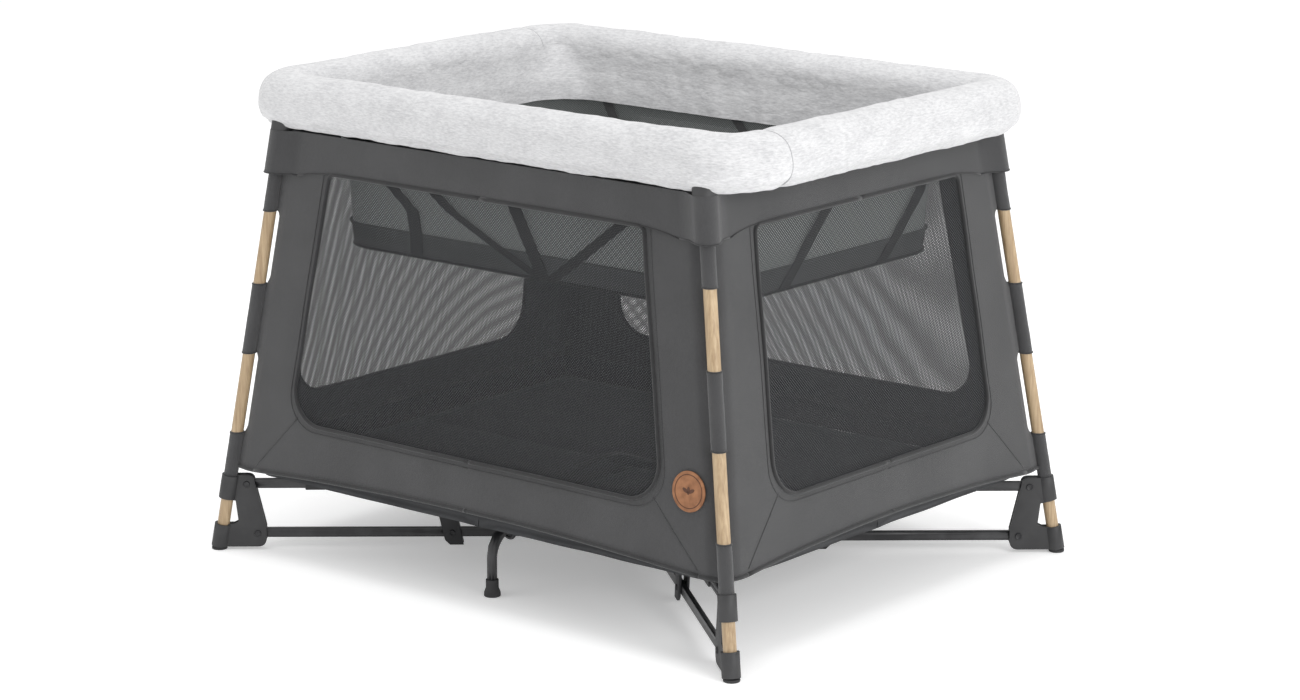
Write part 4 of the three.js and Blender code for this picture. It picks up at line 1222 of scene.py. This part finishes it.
STRAPS_LONG = [
    [(-0.330, 0.684), (-0.262, 0.612), (-0.207, 0.569), (-0.200, 0.530), (-0.200, 0.499)],
    [(-0.274, 0.684), (-0.175, 0.612), (-0.124, 0.577), (-0.040, 0.538), (0.050, 0.499)],
    [(-0.043, 0.684), (-0.002, 0.608), (0.030, 0.550), (0.058, 0.499)],
    [(0.320, 0.684), (0.222, 0.610), (0.140, 0.548), (0.074, 0.499)],
]
STRAPS_SHORT = [
    [(0.012, 0.684), (-0.044, 0.603), (-0.084, 0.545), (-0.116, 0.499)],
    [(0.222, 0.684), (0.200, 0.597), (0.160, 0.540), (0.128, 0.499)],
]


def tub_reach(side, z):
    """How far the bassinet's wall lies from the middle on this side, at height z."""
    axis = 1 if side.long_side else 0
    share = (z - BASSINET_LOW[2]) / (BASSINET_HIGH[2] - BASSINET_LOW[2])
    return BASSINET_LOW[axis] + (BASSINET_HIGH[axis] - BASSINET_LOW[axis]) * share


def make_straps():
    lift = 0.0035
    for side in SIDES:
        layout = STRAPS_LONG if side.long_side else STRAPS_SHORT
        turned = -side.sign if side.long_side else side.sign
        for index, route in enumerate(layout):
            points = [side.within(turned * u, tub_reach(side, z) + lift, z) for u, z in route]
            strap = ribbon(f"strap_{side.name}_{index + 1}", points, STRAP_WIDTH, side.along, WEBBING)
            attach(strap, "bassinet")


TABS_LONG = ((-0.30, -0.26), (-0.03, 0.03), (0.09, 0.05), (0.25, 0.20))
TABS_SHORT = ((-0.12, -0.08), (0.12, 0.08))
TAB_HEIGHTS = (0.661, 0.630, 0.590)


def make_tabs():
    """Short cloth tabs inside the rim that hold the bassinet's upper edge."""
    for side in SIDES:
        spots = TABS_LONG if side.long_side else TABS_SHORT
        fall = 0.10 if side.long_side else 0.25
        inner = BASSINET_HIGH[1] - 0.0085 if side.long_side else BASSINET_HIGH[0] - 0.0115
        for index, (top, foot) in enumerate(spots):
            points = [side.within(top + (foot - top) * share, inner - (TAB_HEIGHTS[0] - z) * fall, z)
                      for z, share in zip(TAB_HEIGHTS, (0, 0.5, 1))]
            tab = ribbon(f"bassinet_tab_{side.name}_{index + 1}", points, 0.020, side.along, CLOTH)
            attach(tab, "bassinet")


def pull_strap():
    """The webbing loop on the floor by which the frame is pulled up to fold it."""
    route = [(0.012, 0.004, 0.150), (0.002, -0.012, 0.158), (-0.010, -0.038, 0.165), (-0.024, -0.066, 0.163),
             (-0.036, -0.086, 0.155), (-0.044, -0.098, 0.1475)]
    across = Vector((0.9, -0.4, 0)).normalized()
    strap = ribbon("floor_pull_strap", [Vector(at) for at in route], 0.022, across, WEBBING)
    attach(strap, "hub_handle")


# ---- hardware on the frame ------------------------------------------
ARM_TURN = math.atan2(RAIL_HALF_Y, RAIL_HALF_X)


def arm_frame(corner, reach, z):
    """The place `reach` inwards from the foot along the arm, the arm's direction and its side direction."""
    sx, sy = CORNERS[corner]
    along = Vector((sx * math.cos(ARM_TURN), sy * math.sin(ARM_TURN), 0))
    foot = Vector((sx * FOOT_X, sy * FOOT_Y, z))
    side = Vector((-along.y, along.x, 0))
    return foot - along * reach, along, side


def bolt(name, at, axis, radius, body):
    """A domed bolt head with a round recess, lying on a plate and facing along axis."""
    bm = bmesh.new()
    bmesh.ops.create_cone(bm, cap_ends=True, segments=28, radius1=radius, radius2=radius * 0.82, depth=0.0024)
    top = max(bm.faces, key=lambda f: f.calc_center_median().z)
    bmesh.ops.inset_region(bm, faces=[top], thickness=radius * 0.36, depth=0)
    bmesh.ops.translate(bm, vec=(0, 0, -0.0013), verts=top.verts)
    turn = Vector((0, 0, 1)).rotation_difference(axis).to_matrix().to_4x4()
    bmesh.ops.transform(bm, matrix=Matrix.Translation(at) @ turn, verts=bm.verts)
    made = rounded(piece(name, bm, DARK_PLASTIC, "black_paint"), 0.0004)
    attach(made, body)


def box_collar(name, at, along, side, size, material, body, ease=0.0014):
    """A moulded block round a bar: size is along the bar, across it and upwards."""
    bm = bmesh.new()
    bmesh.ops.create_cube(bm, size=1)
    bmesh.ops.scale(bm, vec=size, verts=bm.verts)
    basis = Matrix((along, side, Vector((0, 0, 1)))).transposed().to_4x4()
    bmesh.ops.transform(bm, matrix=Matrix.Translation(at) @ basis, verts=bm.verts)
    bmesh.ops.recalc_face_normals(bm, faces=bm.faces)
    made = rounded(piece(name, bm, material, "charcoal_plastic"), ease, 3)
    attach(made, body)


CHEEK_FACE = 0.0084
UPPER_PIN = (0.046, 0.108)
LOWER_PIN = (0.062, 0.027)
LINK_LOWER = 0.3716


PLATE_BOLTS = [
    ("bracket_bolt_upper", "leg_", *UPPER_PIN, 0.0058),
    ("bracket_bolt_lower", "leg_", *LOWER_PIN, 0.0058),
    ("link_bolt_lower", "arm_link_", LINK_LOWER, LOWER_PIN[1], 0.0052),
    ("link_bolt_upper", "arm_link_", LINK_LOWER - 0.016, UPPER_PIN[1], 0.0052),
]
ARM_COLLARS = [
    ("arm_sleeve", 0.155, (0.032, 0.0135, 0.0205)),
    ("arm_clip", 0.198, (0.030, 0.0115, 0.0185)),
]


def corner_hardware(corner):
    for label, body, reach, z, radius in PLATE_BOLTS:
        at, _along, side = arm_frame(corner, reach, z)
        for index, out in enumerate((-side, side)):
            head = at + out * (CHEEK_FACE + 0.0008)
            bolt(f"{label}_{corner}_{index + 1}", head, out, radius, body + corner)
    for label, reach, size in ARM_COLLARS:
        at, along, side = arm_frame(corner, reach, UPPER_PIN[1])
        box_collar(f"{label}_{corner}", at, along, side, size, DARK_PLASTIC, "upper_arm_" + corner)


SUPPORT_X = 0.014
SUPPORT_Z = 0.100
SUPPORT_START = 0.088
SUPPORT_BEND_START = 0.289
SUPPORT_BEND = 0.042
SUPPORT_PIPE_END = 0.024


def support_collars(name, sy):
    x = sy * SUPPORT_X
    bm = bmesh.new()
    bmesh.ops.create_cone(bm, cap_ends=True, segments=32, radius1=0.0128, radius2=0.0112, depth=0.062)
    turn = Matrix.Rotation(math.pi / 2 * -sy, 4, "X")
    bmesh.ops.transform(bm, matrix=Matrix.Translation((x, sy * 0.262, SUPPORT_Z)) @ turn, verts=bm.verts)
    bmesh.ops.recalc_face_normals(bm, faces=bm.faces)
    made = rounded(piece(f"support_socket_{name}", bm, DARK_PLASTIC, "charcoal_plastic"), 0.0015, 3)
    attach(made, "support_" + name)
    loop = [Vector((x + 0.0135 * c, sy * (0.294 + 0.004 * s), 0.0985 + 0.0155 * s))
            for c, s in round_steps(40)]
    ring = tube(f"support_ring_{name}", loop, 0.0026, DARK_PLASTIC, "charcoal_plastic", closed=True)
    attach(ring, "support_" + name)


def support_tube(name, sy):
    """The bent tube itself, drawn as a smooth bend from the hub to its rubber foot."""
    bend = arc((SUPPORT_BEND_START, SUPPORT_Z - SUPPORT_BEND), SUPPORT_BEND, 90, 0, 15)
    route = [(SUPPORT_START, SUPPORT_Z)] + bend + [(SUPPORT_BEND_START + SUPPORT_BEND, SUPPORT_PIPE_END)]
    line = [Vector((sy * SUPPORT_X, sy * y, z)) for y, z in route]
    made = tube(f"support_pipe_{name}", line, 0.0078, PAINT, "black_paint", sides=8)
    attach(made, "support_" + name)


def badge():
    """A round leather badge with a pressed ring and a plain leaf, on the front wall."""
    side = SIDES[0]
    u, z = BADGE_PLACE
    face = side.place(u, z, 0.0010)
    lean = math.atan(LEAN_Y)
    basis = Matrix.Rotation(math.pi / 2 - lean, 4, "X")

    def disc(name, radius, depth, off, material, squeeze=1.0, turn=0.0, shift=(0, 0)):
        bm = bmesh.new()
        bmesh.ops.create_cone(bm, cap_ends=True, segments=56, radius1=radius, radius2=radius, depth=depth)
        bmesh.ops.scale(bm, vec=(squeeze, 1, 1), verts=bm.verts)
        local = Matrix.Translation((shift[0], shift[1], off)) @ Matrix.Rotation(turn, 4, "Z")
        bmesh.ops.transform(bm, matrix=Matrix.Translation(face) @ basis @ local, verts=bm.verts)
        bmesh.ops.recalc_face_normals(bm, faces=bm.faces)
        made = rounded(piece(name, bm, material, "charcoal_fabric"), depth * 0.3, 3)
        fold_flat(made, side, 1)
        return made

    disc("leather_badge", BADGE_RADIUS, 0.0022, 0.0012, LEATHER)
    for index in range(3):
        turn = math.radians(60 * (index - 1))
        shift = (-0.0055 * (index - 1), 0.001)
        disc(f"badge_leaf_{index + 1}", 0.0058, 0.0006, 0.0024, LEATHER_MARK, 0.45, turn, shift)
    r = BADGE_RING_RADIUS
    ring = [Matrix.Translation(face) @ basis @ Vector((r * c, r * s, 0.0023)) for c, s in round_steps(60)]
    groove = tube("badge_ring", ring, 0.0006, LEATHER_MARK, "charcoal_fabric", closed=True, sides=1)
    fold_flat(groove, side, 1)


# ---- make everything ------------------------------------------------
for side in SIDES:
    for half in (-1, 1):
        wall_half(side, half)
        gusset_half(side, half)
for corner in CORNERS:
    corner_cloth(corner)
    corner_band(corner)
    gusset_corner(corner)
    timber_leg(corner)
    sleeves(corner)
    floor_pad(corner)
    corner_hardware(corner)
    sx, sy = CORNERS[corner]
    hem_line = [corner_point(sx, sy, WALL_CORNER_BOTTOM, i / 40, 0.0) for i in range(41)]
    hem = tube(f"corner_hem_{corner}", hem_line, BINDING_RADIUS, BINDING, "charcoal_fabric")
    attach(hem, "leg_" + corner)

whole = whole_rim()
whole_normals = [v.normal.copy() for v in whole.verts]
make_rim()
whole.free()
make_bassinet()
rim_skirt()
make_straps()
make_tabs()
pull_strap()
for name, sy in (("front", -1), ("rear", 1)):
    support_collars(name, sy)
    support_tube(name, sy)
badge()

HARD_PARTS = {
    "corner_casting": (PLASTIC, "charcoal_plastic", 0.0014),
    "foot_bracket": (PLASTIC, "charcoal_plastic", 0.0010),
    "rubber_foot": (RUBBER, "rubber", 0.0006),
    "upper_arm": (PAINT, "black_paint", 0.0008),
    "lower_arm": (PAINT, "black_paint", 0.0008),
    "arm_link": (DARK_PLASTIC, "charcoal_plastic", 0.0010),
    "long_rail": (PAINT, "black_paint", 0.0008),
    "short_rail": (PAINT, "black_paint", 0.0008),
}
for kind, (material, slot, width) in HARD_PARTS.items():
    for corner in CORNERS:
        softened(f"{kind}_{corner}", material, slot, width)
softened("hub", DARK_PLASTIC, "charcoal_plastic", 0.0012)
softened("hub_handle", PLASTIC, "charcoal_plastic", 0.0016)
for name in ("front", "rear"):
    softened(f"support_foot_{name}", RUBBER, "rubber", 0.0008)
    softened(f"support_tube_{name}", PAINT, "black_paint", 0.0004)
